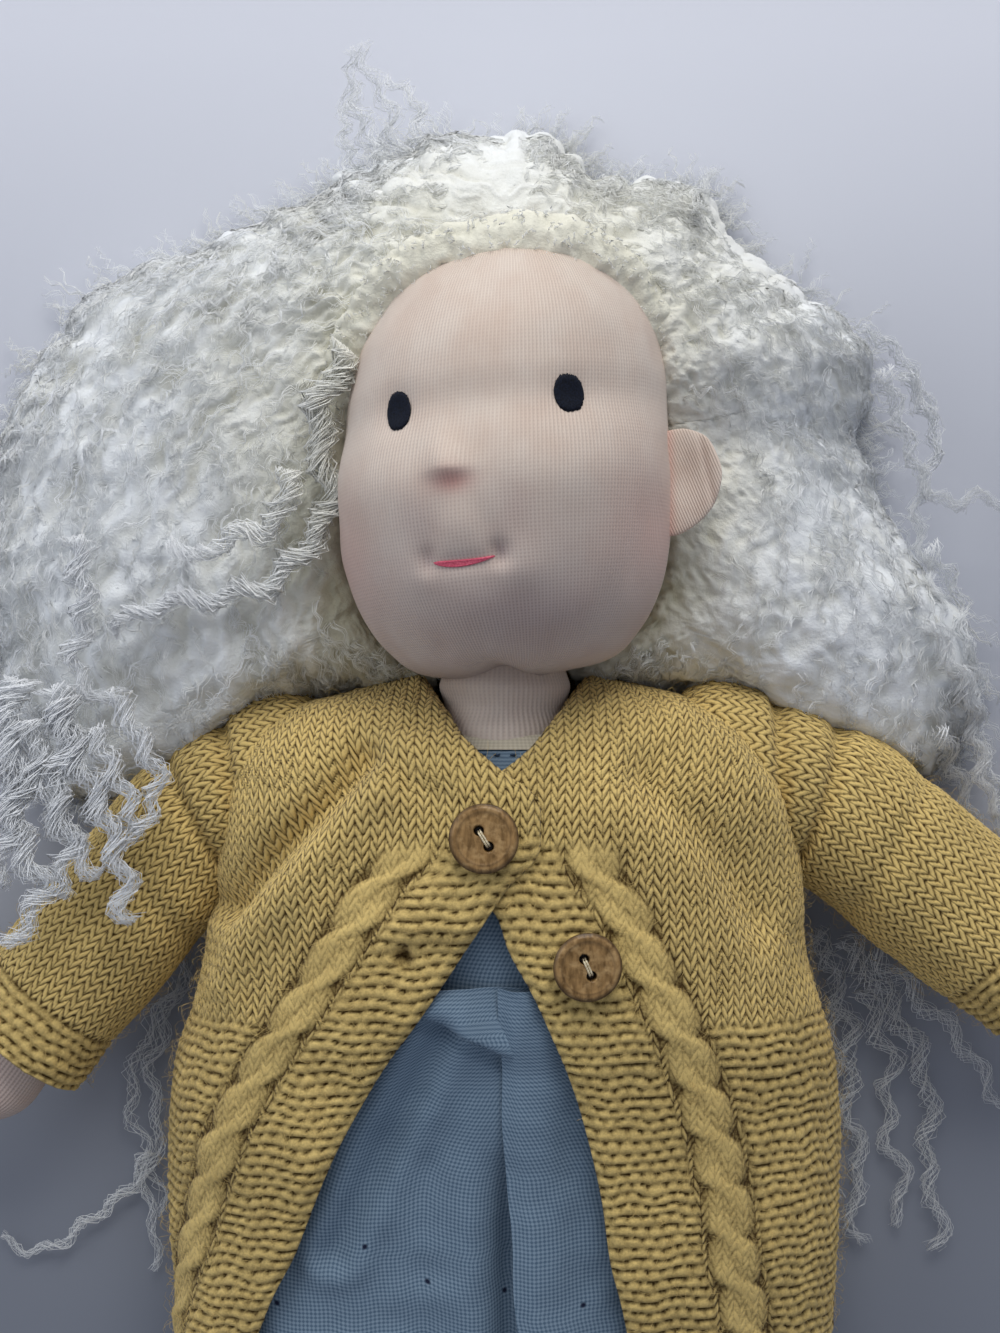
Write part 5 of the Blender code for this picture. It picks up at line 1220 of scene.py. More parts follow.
def skirt_half(side, name):
    """One half from centre back to past centre front, where its pleat's edge folds under."""
    past = 0.16 if side < 0 else 0.015
    t, along = np.meshgrid(np.linspace(0, 1, 200), np.linspace(0, 1, 150))
    angle = -np.pi / 2 + 0.012 + t * (np.pi + past - 0.012)
    if side < 0:
        angle = np.pi - angle
    grid = skirt_point(along, angle, 0.0)
    front = np.sin(angle) > 0
    n = normals_towards(grid, np.where(front, 1, -1)[..., None] * np.array([0, 0, 1]))
    soft = 0.8 * noise(grid, 16, 61) + 0.4 * noise(grid, 6, 62)
    x, y = grid[..., 0], grid[..., 1]
    if side > 0:
        wander = 0.068 * np.maximum(-60 - y, 0) - 0.8
        wander = wander + 0.7 * flat_noise(0.0, y, 13, 63)
        grid[..., 0] += wander * smoothstep(0.75, 1.0, t)
        soft = soft + 1.6 * smoothstep(0.84, 0.965, t) - 1.9 * smoothstep(0.985, 1.0, t)
        soft = soft - 1.2 * bell(t - 0.80, 0.035)
    else:
        soft = soft - 1.6 * smoothstep(0.84, 0.92, t)
        dip = bell(x - 1, 4.5) * smoothstep(-88, -126, y)
        tuck = y - np.interp(x, np.array((-24, -14, -1.5, 5)),
                             np.array((-64, -68, -75, -78)))
        puff = smoothstep(-0.8, 0.8, tuck) * bell(tuck, 8)
        puff = puff * smoothstep(-22, -12, x)
        fold = line_distance(x, y, np.array(((-14, -70), (-24, -92), (-38, -122))))
        soft = soft - 7.0 * dip + 3.0 * puff - 1.2 * bell(tuck + 1.8, 1.8)
        soft = soft - 1.8 * bell(fold, 3.2) + 1.2 * bell(fold - 6, 3.5)
    for at_x, at_y, long, wide, high in ((14, -95, 30, 4, -1.3), (24, -120, 30, 5, 1.3),
                                         (-8, -110, 36, 3.5, 0.9), (-46, -115, 34, 5, -1.2)):
        lean_x = at_x + 0.12 * at_x * (y - at_y) / -30
        hill = bell(x - lean_x, wide) * bell(y - at_y, long)
        soft = soft + high * hill
    gather = 0.5 * np.sin(x / 1.5 + 2 * flat_noise(x, y, 8, 64))
    gather = gather * smoothstep(0.10, 0.0, along)
    grid = grid + n * ((soft + gather) * front)[..., None]
    made = surface(name + "_skirt_cloth", grid, CHAMBRAY, None, [name + "_skirt"],
                   (0, -120, 25), lengths(grid))
    follow_leg(made, name + "_leg")
    return made


skirts = [skirt_half(1, "left"), skirt_half(-1, "right")]
print("skirts", sum(len(o.data.polygons) for o in skirts))

# %% The legs
LEG_ROWS = smooth_rows((
    (0.00, 0.00, 1.00, 1.00), (0.05, 0.00, 1.00, 1.00), (0.30, 0.00, 0.97, 0.96),
    (0.58, -0.03, 0.83, 0.83), (0.80, -0.28, 0.69, 0.69), (0.90, -0.41, 0.66, 0.66),
    (0.962, -0.31, 0.68, 0.64), (0.995, 0.14, 0.70, 0.58), (1.008, 0.66, 0.70, 0.52),
    (1.012, 1.15, 0.66, 0.46), (1.014, 1.48, 0.42, 0.30), (1.0145, 1.60, 0.02, 0.02)), 6)


HIP_X, HIP_Z, LEG_LENGTH, LEG_RADIUS = 18.6, 21.6, 158, 16.8


def leg(side, name):
    """Rings square to a centre line that runs down the leg and up into the foot."""
    lead = np.linspace(-1, 0, 12)[:-1]
    dome = np.sqrt(np.clip(1 - lead**2, 0.0005, 1))
    y = -HIP_DROP - np.concatenate([lead * LEG_RADIUS, LEG_ROWS[:, 0] * LEG_LENGTH])
    z = HIP_Z + np.concatenate([0 * lead, LEG_ROWS[:, 1] * 24])
    wide = np.concatenate([dome, LEG_ROWS[:, 2]]) * LEG_RADIUS
    tall = np.concatenate([dome, LEG_ROWS[:, 3]]) * LEG_RADIUS
    way = np.gradient(np.stack([y, z], axis=1), axis=0)
    way /= np.linalg.norm(way, axis=1)[:, None]
    angle = round_turn(90)[None]
    off = tall[:, None] * np.sin(angle)
    grid = np.stack([side * HIP_X + wide[:, None] * np.cos(angle),
                     y[:, None] + off * way[:, 1:], z[:, None] - off * way[:, :1]], axis=-1)
    grid[..., 2] += 0.25 * noise(grid, 8, 71)
    made = surface(name + "_leg_skin", grid, SKIN, name + "_leg",
                   [name + "_leg"], grid[30].mean(axis=0), (angle * 16, y[:, None]),
                   {"blush": 0.12, "shade": 0.4})
    return made


legs = [leg(1, "left"), leg(-1, "right")]

# %% [markdown]
# ## The hair
# A soft mass first: a height over the table in polar form round the head's centre, from
# the hairline down to the outline. Hair leaves the crown sideways and falls in a spiral,
# so the mass has soft ridges along that spiral. Fine strands follow the same flow, and
# long locks follow routes of their own.

# %% The mass: its outline, its height and the way it flows
OUTLINE = np.array((
    (-72, 55), (-66, 58), (-60, 61), (-54, 65), (-50, 69), (-46, 76), (-42, 86), (-40, 104),
    (-35, 127), (-25.7, 126), (-21, 121), (-16.5, 112), (-9, 98), (-1.3, 88), (6.6, 86),
    (12, 92), (18, 93), (26, 88), (35, 80), (46.8, 76), (53, 80), (56, 81), (60, 77), (72.6, 73),
    (84, 78), (94, 80), (103, 80), (116.6, 79), (126, 80), (141, 89), (153, 102), (160, 112),
    (167, 116), (180, 122), (190, 128), (205, 132), (216, 131), (221, 116), (223, 92), (227, 79),
    (235, 68), (243, 60), (252, 55)))
RISE = np.array(((-72, 30), (-64, 34), (-40, 40), (-20, 44), (-8, 45), (12, 46), (24, 54), (50, 57),
                 (90, 58), (130, 56), (160, 52), (180, 49), (200, 46), (222, 42), (252, 32)))
FALL = math.radians(36)
SPREAD = 85
along = np.linspace(0.01, 0.99, 150)
sides = [head_point(0 * along + turn, along) for turn in (0, np.pi)]
edge_line = head_to_doll(np.concatenate(sides))
edge_x, edge_y = edge_line[:, 0], edge_line[:, 1] - HEAD_CENTRE[1]
edge_angle = np.degrees(np.arctan2(edge_y, edge_x))
edge_angle = np.where(edge_angle < -90, edge_angle + 360, edge_angle)
order = np.argsort(edge_angle)
EDGE = np.stack([edge_angle[order], np.hypot(edge_x, edge_y)[order]], axis=1)


def polar(x, y):
    """The angle in degrees from -90 to 270 and the distance round the head's centre."""
    angle = np.degrees(np.arctan2(y - HEAD_CENTRE[1], x))
    return np.where(angle < -90, angle + 360, angle), np.hypot(x, y - HEAD_CENTRE[1])


def hair_outline(angle):
    """The outer radius, with tufts from two sizes of noise."""
    ring = np.interp(angle, OUTLINE[:, 0], OUTLINE[:, 1])
    return (ring + 1.8 * flat_noise(angle / 6, 0 * angle, 1.0, 81)
            + 1.3 * flat_noise(angle / 2.2, 0 * angle, 1.0, 82))


def hair_height(angle, radius):
    """H (1 - p^2.2)^(1/2.2), where p goes from 0 at the hairline to 1 at the outline."""
    inner = np.interp(angle, EDGE[:, 0], EDGE[:, 1]) - 1.5
    p = np.clip((radius - inner) / (hair_outline(angle) - inner), 0, 1)
    high = np.interp(angle, RISE[:, 0], RISE[:, 1])
    swell = 3.5 * smoothstep(0, 5, radius - inner) * (1 - p)
    return high * np.clip(1 - p**2.2, 0, 1) ** (1 / 2.2) + swell


def spiral(x, y):
    """Lengths across and along the fall: S (ln r cos f - t sin f) and S (ln r sin f + t cos f)."""
    angle, radius = polar(x, y)
    turn = np.abs(np.radians(90 - angle))
    out = np.log(np.maximum(radius, 20) / SPREAD)
    return (SPREAD * (out * math.cos(FALL) - turn * math.sin(FALL)),
            SPREAD * (out * math.sin(FALL) + turn * math.cos(FALL)))


def hair_waves(x, y):
    """Soft ridges along the fall, long on the doll's right and short curls on its left."""
    across, out = spiral(x, y)
    across = across + 2.4 * flat_noise(x, y, 15, 91) + 1.0 * np.sin(out / 2.0)
    out = out + 3.0 * flat_noise(x, y, 12, 92)
    curly = smoothstep(-20, 30, x)
    h = 0.0
    for wide, long, share, seed in ((5.0, 17, 0.48, 94), (2.6, 8.5, 0.34, 95),
                                    (1.3, 3.4, 0.20, 96)):
        ridge = flat_noise(across / wide, out / long, 1.0, seed)
        knot = flat_noise(across / wide, out / wide, 1.0, seed + 50)
        level = ridge * (1 - 0.6 * curly) + knot * 0.6 * curly
        h = h + share * (1 - 2.2 * np.sqrt(level**2 + 0.010))
    return h


def warmth(x, y):
    """1 by the hairline, where the hair looks cream, and 0 from a third of the way out."""
    angle, radius = polar(x, y)
    inner = np.interp(angle, EDGE[:, 0], EDGE[:, 1])
    near = 1.1 - (radius - inner) / 34 + 0.3 * flat_noise(x, y, 16, 99)
    near = np.clip(near, 0, 1) * (1 - 0.6 * bell(angle - 88, 34))
    return near * (1 - 0.35 * smoothstep(60, 20, angle))


def hair_mass(name, first, last, columns, rows, body, replaces):
    """One sector of the mass, closed below at the table."""
    angle, p = np.meshgrid(np.linspace(first, last, columns), np.linspace(0, 1, rows))
    inner = np.interp(angle, EDGE[:, 0], EDGE[:, 1]) - 1.5
    radius = inner + p * (hair_outline(angle) - inner)
    a = np.radians(angle)
    x, y = radius * np.cos(a), HEAD_CENTRE[1] + radius * np.sin(a)
    waves = hair_waves(x, y)
    fade = smoothstep(0, 0.06, p) * smoothstep(1.0, 0.93, p) * 0.85 + 0.15
    grid = np.stack([x, y, hair_height(angle, radius)], axis=-1)
    n = grid_normals(grid)
    n = n * np.sign(n[..., 2:] + 1e-9)
    lumps = 1.25 * waves + 1.3 * noise(grid, 19, 97)
    lumps = lumps + 0.8 * noise(grid, 8, 98) + 0.5 * noise(grid, 3.4, 93)
    grid = grid + n * (lumps * fade)[..., None]
    grid[..., 2] = np.maximum(grid[..., 2], 0.6)
    low_out, low_in = grid[-1:].copy(), grid[:1].copy()
    low_out[..., 2] = low_in[..., 2] = 0.4
    closed = np.concatenate([low_in, grid, low_out, low_in])
    # Painted highlight and shade: the waves' ridges are lighter, their hollows and the hair by the
    # nape darker.
    nape_shade = smoothstep(-5, -45, np.where(angle > 90, 180 - angle, angle))
    nape_shade = nape_shade * smoothstep(62, 44, radius)
    tone = np.clip(0.74 + 0.42 * waves - 0.8 * nape_shade, 0, 1.2)
    looks = {key: np.concatenate([value[:1], value, value[-1:], value[:1]])
             for key, value in (("relief", tone), ("warm", warmth(x, y)))}
    centre = closed.mean(axis=(0, 1)) * np.array([1, 1, 0]) + np.array([0, 0, 12])
    made = surface(name, closed, HAIR, body, replaces, centre, values=looks)
    return made


def follow_head(made):
    """Bakes the piece's placement into its points; it rides on no body."""
    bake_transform(made)


crown = hair_mass("hair_over_the_crown", 58, 122, 140, 84, "head",
                  ["hair_crown", "crown_tuft", "wig_cap"])
left_hair = hair_mass("left_hair", -72, 58, 250, 112, None, ["left_hair_fall"])
right_hair = hair_mass("right_hair", 122, 252, 270, 126, None, ["right_hair_fall"])
follow_head(left_hair)
follow_head(right_hair)
x, y = np.meshgrid(np.linspace(-31, 31, 60), np.linspace(-44, 98, 120))
z = 4.6 * (1 - 0.3 * np.abs(x / 31) ** 3) + 0.5 * hair_waves(x, y)
under = np.stack([x, y, z], axis=-1)
low = under * np.array([1, 1, 0]) + np.array([0, 0, 0.4])
under = np.concatenate([low[:, :1], under, low[:, -1:], low[:, :1]], axis=1)
# Painted shade: the slab under the head is given a dark tone of the hair.
nape_hair = surface("hair_under_the_head", under, HAIR, "torso",
                    ["back_hair_fall"], (0, 27, 2), values={"relief": 0.35, "warm": 1})
masses = (crown, left_hair, right_hair, nape_hair)
print("hair mass", sum(len(o.data.polygons) for o in masses))


# %% Strands in small locks over the mass
def flow(x, y, twist):
    """Along the spiral of the fall, turned by twist."""
    a = np.arctan2(y - HEAD_CENTRE[1], x)
    side = np.where(x < 0, -1.0, 1.0)
    dx = math.cos(FALL) * side * np.sin(a) + math.sin(FALL) * np.cos(a)
    dy = -math.cos(FALL) * side * np.cos(a) + math.sin(FALL) * np.sin(a)
    c, s = np.cos(twist), np.sin(twist)
    return dx * c - dy * s, dx * s + dy * c


def steered(x, y, length, steps, twist):
    """Guide lines in the plane that step along the flow and wander."""
    step = length / (steps - 1)
    path = [(x, y)]
    for _ in range(steps - 1):
        dx, dy = flow(*path[-1], twist)
        path.append((path[-1][0] + dx * step, path[-1][1] + dy * step))
        twist = twist + 0.12 * rng.standard_normal(len(x))
    return np.array(path).transpose(1, 2, 0)


def small_locks(x, y, length, lift, wide, members, steps, crimp, crimp_length, twist):
    """Strands round steered guides; the members of a lock share one wave."""
    px, py = steered(x, y, length, steps, twist)
    gx, gy = np.gradient(px, axis=1), np.gradient(py, axis=1)
    size = np.hypot(gx, gy)
    length, lift, wide, crimp, crimp_length = (
        value[:, None, None] for value in (length, lift, wide, crimp, crimp_length))
    t = np.linspace(0, 1, steps)[None, :, None]
    count = len(x)
    phase = rng.random((count, 1, 1)) * 2 * np.pi
    own = rng.standard_normal((count, 1, members))
    u, v = rng.standard_normal((2, count, 1, members)) * 0.6
    narrow = wide * (1.0 - 0.5 * t)
    turn = 2 * np.pi * t * length / (crimp_length * (1 + 0.12 * own)) + phase + 0.5 * own
    jitter = 0.10 * rng.standard_normal((2, count, steps, members))
    off = u * narrow + crimp * np.sin(turn) + jitter[0]
    x3 = px[..., None] - (gy / size)[..., None] * off
    y3 = py[..., None] + (gx / size)[..., None] * off
    z3 = np.maximum(hair_height(*polar(x3, y3)), 1.0)
    z3 = z3 + lift * (0.4 + 0.9 * np.sin(np.pi * t * 0.9))
    z3 = z3 + v * narrow * 0.5 + 0.7 * crimp * np.cos(turn) + jitter[1]
    paths = np.stack([x3, y3, np.maximum(z3, 0.6)], axis=-1)
    return paths.transpose(0, 2, 1, 3).reshape(-1, steps, 3)


def strand_piece(name, paths, radius, body, tone):
    """Strands as one piece; each tapers to its tip. body is None or a body's name.

    With body 1 or -1 they ride on no body, and their placement is baked into their points.
    """
    t = np.linspace(0, 1, paths.shape[1])[None]
    radii = radius * (1 - 0.5 * t**2) * (0.75 + 0.5 * rng.random((len(paths), 1)))
    warm = warmth(paths[..., 0], paths[..., 1]) * 0.8
    side = body in (1, -1)
    made = cords(name, paths, radii, 3, CURLS, None if side else body, (),
                 {"relief": np.clip(tone, 0, 1.2), "warm": warm})
    if side:
        follow_head(made)
    print(name, len(made.data.polygons))


def scatter(first, last, low, high, count):
    """Roots spread evenly over a sector between two shares of the way out."""
    angle = rng.uniform(first, last, count)
    inner = np.interp(angle, EDGE[:, 0], EDGE[:, 1])
    p = np.sqrt(rng.uniform(low**2, high**2, count))
    radius = inner + p * (hair_outline(angle) - inner)
    a = np.radians(angle)
    return radius * np.cos(a), HEAD_CENTRE[1] + radius * np.sin(a)


def sector_strands(name, first, last, count, body):
    """The small locks of one sector: most over the mass, a third as a fringe at its outline."""
    fringe, members = count // 3, 5
    groups = []
    for number, low, high, turn in ((count - fringe, 0.0, 0.97, 0.0), (fringe, 0.86, 1.0, 0.45)):
        x, y = scatter(first, last, low, high, number)
        length = rng.uniform(8, 17, number) * (1 - 0.25 * turn)
        lift, wide, crimp, crimp_length = (rng.uniform(a, b, number) for a, b in (
            (1.0, 3.0), (0.5, 1.4), (0.5, 1.2), (3.4, 6.0)))
        twist = turn * np.where(x < 0, -1.0, 1.0) + 0.5 * rng.standard_normal(number)
        groups.append(small_locks(x, y, length, lift, wide, members, 10, crimp, crimp_length,
                                  twist))
    tone = np.repeat(rng.uniform(0.55, 1.1, count), members)[:, None]
    strand_piece(name, np.concatenate(groups), 0.075, body, tone)


sector_strands("crown_strands", 60, 120, 360, "head")
for k, (first, last, count, side) in enumerate((
        (-66, 5, 400, 1), (5, 62, 330, 1), (118, 160, 330, -1), (160, 200, 400, -1),
        (200, 246, 400, -1))):
    sector_strands(f"side_strands_{k}", first, last, count, side)


# %% Long locks on their own routes
def long_lock(route, width, members, wave, wave_length, steps):
    """Strands that twist round a smooth route, which itself waves from side to side."""
    route = np.array(route, dtype=float)
    line = smooth_rows(np.column_stack([run_along(route), route]), 8)
    s = np.linspace(0, line[-1, 0], steps)
    guide = np.stack(read(line, s), axis=-1)
    over = hair_height(*polar(guide[:, 0], guide[:, 1]))
    guide[:, 2] = np.maximum(guide[:, 2], np.where(over > 5, over + 5.5, 0))
    way = np.gradient(guide, axis=0)
    way = way / np.linalg.norm(way, axis=1)[:, None]
    side = np.stack([-way[:, 1], way[:, 0], 0 * s], axis=-1)
    side = side / np.maximum(np.linalg.norm(side, axis=1)[:, None], 1e-9)
    up = np.cross(way, side)
    phase = rng.random() * 2 * np.pi
    guide = guide + side * (wave * np.sin(2 * np.pi * s / wave_length + phase))[:, None]
    t = np.linspace(0, 1, steps)[None]
    spin = rng.random((members, 1)) * 2 * np.pi
    spin = spin + 2 * np.pi * s[None] / rng.uniform(9, 16, (members, 1))
    far = width / 2 * np.sqrt(rng.random((members, 1))) * (1.15 - 0.55 * t)
    far = far * (1 + 0.25 * np.sin(2 * np.pi * s[None] / 7 + spin[:, :1]))
    jitter = 0.16 * rng.standard_normal((2, members, steps))
    stray = 1.2 * np.sin(2 * np.pi * s[None] / 5 + spin[:, :1])
    stray = stray * (rng.random((members, 1)) < 0.15)
    a = far * np.cos(spin) + jitter[0] + stray
    b = 0.75 * far * np.sin(spin) + jitter[1]
    paths = guide[None] + side[None] * a[..., None] + up[None] * b[..., None]
    return np.concatenate([paths[..., :2], np.maximum(paths[..., 2:], 0.6)], axis=-1)


def lock_piece(name, routes, body, tone=0.95, radius=0.085):
    """Long locks, joined into one piece for each count of steps."""
    groups = {}
    for *numbers, route in routes:
        groups.setdefault(numbers[-1], []).append(long_lock(route, *numbers))
    for steps, paths in groups.items():
        strand_piece(f"{name}_{steps}", np.concatenate(paths), radius, body, tone)


# Each lock: width, strands, wave, its length, steps, and the route from root to tip in mm.
lock_piece("right_locks", [
    (7.0, 69, 1.4, 13, 40, ((-32.8, 75.7, 62), (-37.8, 69.2, 60), (-40.6, 59.7, 58),
     (-38, 48.9, 57), (-37.4, 42.9, 56), (-42.1, 36, 55), (-46.5, 30.4, 54), (-53.2, 25.6, 53),
     (-64.5, 23.4, 52), (-77.2, 21.7, 51), (-86.8, 16.5, 49))),
    (5.4, 39, 0.8, 10, 26, ((-46.1, 50.9, 58), (-47.9, 43.4, 58), (-51.4, 38, 57),
     (-56.2, 38, 57), (-62, 34.8, 56), (-67.3, 32.5, 55), (-73.6, 35.8, 54))),
    (5.9, 39, 1.4, 9, 26, ((-94.1, 37.1, 51), (-92.6, 26.3, 51), (-92.8, 18.6, 50),
     (-95.2, 8.5, 49), (-91.6, 3.2, 49), (-88.3, 1, 49))),
    (6.8, 51, 1.8, 11, 34, ((-98.1, 1, 50), (-95.1, -10, 50), (-89.3, -21.1, 50),
     (-85.4, -32.1, 50), (-83.6, -40.9, 50), (-84, -46.4, 50), (-82.7, -48.6, 49.5))),
    (6.8, 42, 1.6, 11, 26, ((-104.7, -3.4, 50), (-102.6, -16.6, 50), (-96.8, -27.7, 50),
     (-92.9, -34.3, 50), (-88.5, -36.9, 50))),
    (6.8, 45, 1.6, 12, 34, ((-111.3, -12.2, 50), (-108.3, -25.5, 50), (-104.8, -34.3, 50),
     (-100.4, -39.8, 50), (-104.8, -46.4, 49.5), (-109.8, -53.8, 48.5))),
    (5.4, 33, 1.2, 9, 26, ((-87, 3.2, 50), (-80.4, -7.8, 50.5), (-76, -15.5, 50.5),
     (-78.2, -23.2, 50), (-80.5, -28.8, 50))),
    (5.4, 33, 1.2, 8, 26, ((-91.4, -5.6, 50), (-84.8, -16.6, 50.5), (-81.6, -25.5, 50),
     (-83.8, -32.1, 50))),
    (8.1, 45, 1.6, 12, 26, ((-108, 6, 48), (-110, -6, 50), (-106, -18, 50), (-110, -30, 50),
     (-113, -40, 48))),
    (6.8, 42, 1.6, 11, 26, ((-100, 4, 50), (-96, -8, 50.5), (-99, -20, 50.5), (-95, -30, 50),
     (-99, -42, 50)))], -1, 1.1, 0.12)
lock_piece("left_locks", [
    (4.2, 26, 1.0, 9, 26, ((85.4, 75.9, 34), (89.6, 68.2, 30), (94.1, 57.3, 27),
     (97.8, 50.1, 25), (104.2, 46.3, 22), (112.9, 48.9, 20), (117.3, 44.1, 18))),
    (4.2, 26, 1.0, 9, 26, ((92, 76.4, 27), (98.9, 66.4, 24), (100.7, 60, 23), (98.1, 51.3, 22),
     (96, 45.4, 22), (98.8, 30.8, 20), (101.8, 23.4, 18))),
    (3.6, 18, 0.8, 8, 26, ((81.2, 85.3, 32), (90, 81.4, 28), (97.7, 71.5, 24),
     (101.2, 66.3, 22))),
    (4.2, 22, 1.2, 9, 26, ((98, 36, 24), (106, 26, 20), (107, 14, 18), (112, 4, 15),
     (111, -6, 12))),
    (4.6, 24, 1.4, 10, 26, ((104, 8, 18), (112, -4, 14), (114, -14, 12), (119, -22, 10),
     (117, -32, 8))),
    (4.6, 22, 1.4, 10, 26, ((100, -6, 18), (108, -18, 12), (112, -28, 9), (110, -38, 7))),
    (4.6, 26, 1.4, 10, 26, ((96.3, 18.6, 23), (105.6, 2.9, 20), (110.8, -8.9, 18),
     (113.6, -20.8, 16), (117.6, -26.9, 14)))], 1)
lock_piece("table_locks", [
    (6.0, 18, 1.3, 14, 56, ((74.6, -54.9, 8), (79.9, -68.6, 5), (83.7, -84.5, 4),
     (82.7, -99.3, 3), (86.3, -111.4, 3), (83.9, -124.8, 3), (87, -132.3, 2))),
    (6.0, 18, 1.4, 15, 56, ((80.6, -57.3, 8), (90.8, -69.8, 5), (99.5, -84.5, 4),
     (103.3, -99.3, 3), (102.1, -113.8, 3), (105.7, -124.8, 3), (104.7, -133.6, 2))),
    (5.0, 15, 1.4, 14, 56, ((87.8, -59.7, 8), (100.5, -72.2, 5), (110.4, -82.1, 4),
     (116.7, -92, 3), (121.5, -99.3, 3))),
    (5.0, 15, 1.4, 14, 56, ((85.8, -69.7, 6), (93.4, -86.9, 4), (92.4, -104.1, 3),
     (97.2, -116.3, 3), (93.8, -127.5, 2))),
    (4.0, 10, 1.1, 12, 56, ((78.5, -72.1, 6), (80.1, -91.8, 4), (78.5, -109, 3),
     (81, -121.1, 3))),
    (4.0, 13, 1.1, 14, 56, ((-75.8, -62.3, 7), (-82.1, -77.1, 5), (-85.9, -91.8, 4),
     (-83.6, -104.1, 3), (-87.3, -118.7, 3), (-84.3, -131.1, 2), (-86.2, -138.4, 2))),
    (4.0, 11, 1.1, 13, 56, ((-79.4, -67.1, 7), (-86.9, -81.9, 5), (-90.8, -96.6, 4),
     (-86.1, -111.4, 3), (-82.6, -125, 2))),
    (3.0, 15, 1.0, 11, 56, ((-86.1, -109, 3), (-91.4, -118.7, 3), (-99.4, -124.8, 3),
     (-107.9, -131.6, 3), (-115.4, -133.6, 2), (-122.7, -130.6, 2)))], 'torso', 0.85)
lock_piece("crown_locks", [
    (5.0, 20, 1.2, 8, 26, ((-27.8, 122.5, 34), (-32.1, 131.6, 34), (-35.6, 138.3, 34),
     (-34.2, 145.2, 34), (-35.9, 149, 34))),
    (5.0, 20, 1.2, 9, 26, ((-24.4, 123.7, 34), (-25.7, 132.7, 34), (-28.4, 139.6, 34),
     (-31.4, 145.4, 34), (-33.4, 150.2, 34))),
    (4.0, 16, 1.0, 8, 26, ((-20.9, 127.8, 30), (-19.8, 137.5, 25), (-23.5, 143, 22),
     (-27.6, 147.1, 19))),
    (4.0, 16, 1.0, 8, 26, ((-33.7, 121, 30), (-37.4, 131.9, 24), (-36.5, 139.7, 20),
     (-32.8, 145.5, 18))),
    (4.0, 16, 0.6, 8, 26, ((41.1, 108.2, 32), (45.6, 117.5, 28), (48.6, 124.4, 24)))], 'head', 0.95)

# %% The rolled edge of the wig along the hairline
HAIRLINE = smooth_rows((
    (0, -37.8, 55.4, 46), (1, -36.9, 63.5, 49.5), (2, -34.7, 71.4, 53), (3, -31.4, 78.9, 57),
    (4, -27.0, 86.3, 61), (5, -21.2, 91.9, 65), (6, -13.6, 95.6, 68), (7, -4.2, 97.5, 69.5),
    (8, 5.1, 98.5, 69.5), (9, 14.2, 97.5, 67.5), (10, 22.2, 93.6, 64), (11, 28.8, 87.1, 59),
    (12, 33.6, 79.1, 54), (13, 36.7, 70.4, 50), (14, 38.4, 62.3, 46.5)), 20)
line = HAIRLINE[:, 1:]
way = np.gradient(line, axis=0)
way = way / np.linalg.norm(way, axis=1)[:, None]
aside = np.stack([-way[:, 1], way[:, 0], 0 * way[:, 0]], axis=-1)
aside = aside / np.linalg.norm(aside, axis=1)[:, None]
turn = round_turn(40)[None]
ends = 1 - (2 * np.linspace(0, 1, len(line)) - 1) ** 12
ends = np.sqrt(np.clip(ends, 0.01, 1))[:, None]
wide, high = 5.4 * ends * np.cos(turn), 3.6 * ends * np.sin(turn)
roll = line[:, None] + aside[:, None] * wide[..., None] + np.array([0, 0, 1]) * high[..., None]
n = normals_towards(roll, roll - line[:, None])
waves = 0.7 * hair_waves(roll[..., 0] * 1.6, roll[..., 1] * 1.6)
waves = waves + 0.5 * noise(roll, 4, 88) + 0.5 * noise(roll, 1.8, 89)
roll = roll + n * (1.2 * waves * ends)[..., None]
roots = roll.reshape(-1, 3)[rng.integers(0, roll.shape[0] * roll.shape[1], 900)]
roots = roots[roots[:, 2] > 44]
heading = rng.uniform(0, 2 * np.pi, len(roots))[:, None]
t = np.linspace(0, 1, 9)[None]
swing = heading + 2.4 * np.sin(2 * np.pi * (1.6 * t + rng.random((len(roots), 1))))
step = rng.uniform(0.45, 0.8, (len(roots), 1))
rise = 0.5 + 0.9 * np.sin(np.pi * t) + 0 * swing
fluff = np.stack([np.cumsum(step * np.cos(swing), axis=1),
                  np.cumsum(step * np.sin(swing), axis=1), rise], axis=-1)
strand_piece("hairline_fluff", roots[:, None] + fluff, 0.085, "head", 0.95)
# Painted highlight and shade: its tone is lighter on the waves' ridges and darker in their hollows.
rim = surface("hairline_roll", roll, HAIR, "head", [], line.mean(axis=0),
              values={"relief": np.clip(0.86 + 0.25 * waves, 0, 1.2), "warm": 0.9})
print("hairline", len(rim.data.polygons))
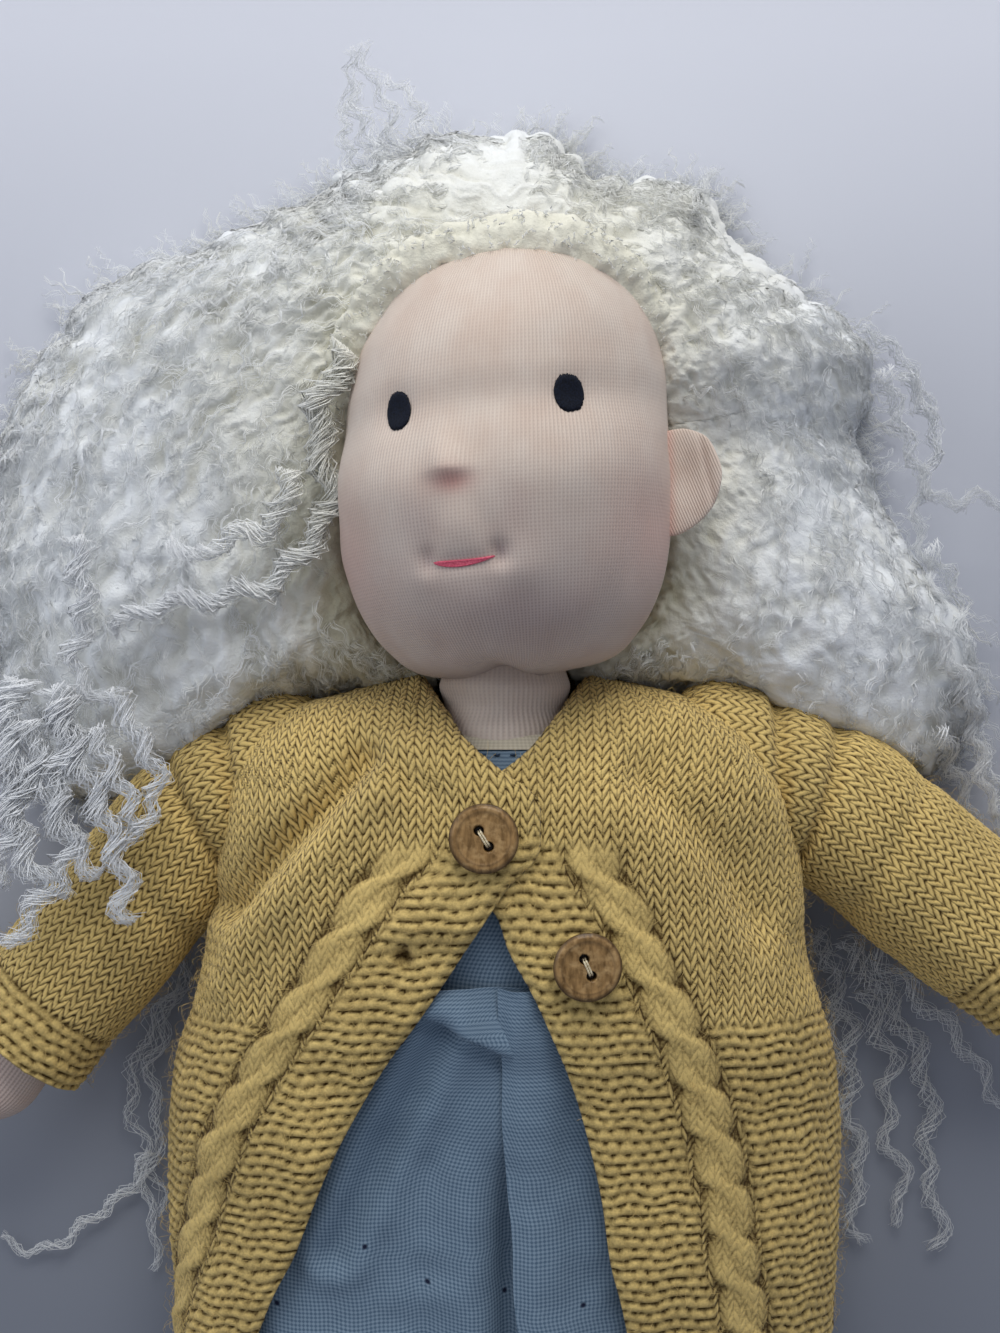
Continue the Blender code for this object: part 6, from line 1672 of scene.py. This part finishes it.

# %% [markdown]
# ## The photograph
# A pale floor whose colour darkens towards the doll's feet, painted shade for the light's falloff,
# one broad soft light from over the head and a weaker one from its left, and a camera that looks
# straight down.

# %% Floor, light and camera
FLOOR_Z, FLOOR_HALF = -0.0006, 3.0
floor_mesh = bpy.data.meshes.new("floor")
floor_mesh.from_pydata([(x * FLOOR_HALF, y * FLOOR_HALF, FLOOR_Z)
                        for x, y in ((-1, -1), (1, -1), (1, 1), (-1, 1))], [], [(0, 1, 2, 3)])
floor = bpy.data.objects.new("floor", floor_mesh)
bpy.context.scene.collection.objects.link(floor)
floor_material, shader = finish("floor_painted_falloff", 0.9)
# Painted shade: the floor's colour darkens towards the doll's feet in place of the light's falloff.
down = place(shader).parts()[1].remap(-0.13, 0.23)
put(shader.inputs["Base Color"], down.mix((0.155, 0.175, 0.215), (0.68, 0.70, 0.765)))
floor_mesh.materials.append(floor_material)
floor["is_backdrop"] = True


def area_light(name, at, target, size, energy, colour):
    """A square soft light that looks at a target."""
    data = bpy.data.lights.new(name, "AREA")
    data.shape, data.size, data.energy, data.color = "SQUARE", size, energy, colour
    lamp = bpy.data.objects.new(name, data)
    lamp.location = at
    lamp.rotation_mode = "QUATERNION"
    lamp.rotation_quaternion = (Vector(target) - Vector(at)).to_track_quat("-Z", "Y")
    bpy.context.scene.collection.objects.link(lamp)


area_light("window", (0.12, 0.95, 0.62), (0.0, 0.08, 0.03), 0.7, 8.1, (1.0, 0.985, 0.96))
area_light("side", (-0.9, 0.45, 0.60), (0.0, 0.05, 0.03), 0.8, 3.0, (0.93, 0.96, 1.0))
world = bpy.data.worlds.new("soft_room")
world.use_nodes = True
world.node_tree.nodes["Background"].inputs[0].default_value = (0.80, 0.85, 1.0, 1.0)
world.node_tree.nodes["Background"].inputs[1].default_value = 0.36
bpy.context.scene.world = world

SENSOR, HALF_VIEW = 24.0, math.radians(18.0)
camera_data = bpy.data.cameras.new("camera")
camera_data.sensor_fit = "VERTICAL"
camera_data.sensor_height = camera_data.sensor_width = SENSOR
camera_data.lens = SENSOR / 2 / math.tan(HALF_VIEW)
camera = bpy.data.objects.new("camera", camera_data)
camera.location = (SHIFT[0] - 0.0011, SHIFT[1] + 0.0084, 0.501)
bpy.context.scene.collection.objects.link(camera)
bpy.context.scene.camera = camera
bpy.context.scene.view_settings.view_transform = "Standard"

# %% Print the sizes and the triangle count
low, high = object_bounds()
print("visual", [round(v, 4) for v in (*low, *high)])
triangles = sum(len(o.data.loops) - 2 * len(o.data.polygons)
                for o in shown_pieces() if o.type == "MESH")
print("triangles", triangles)
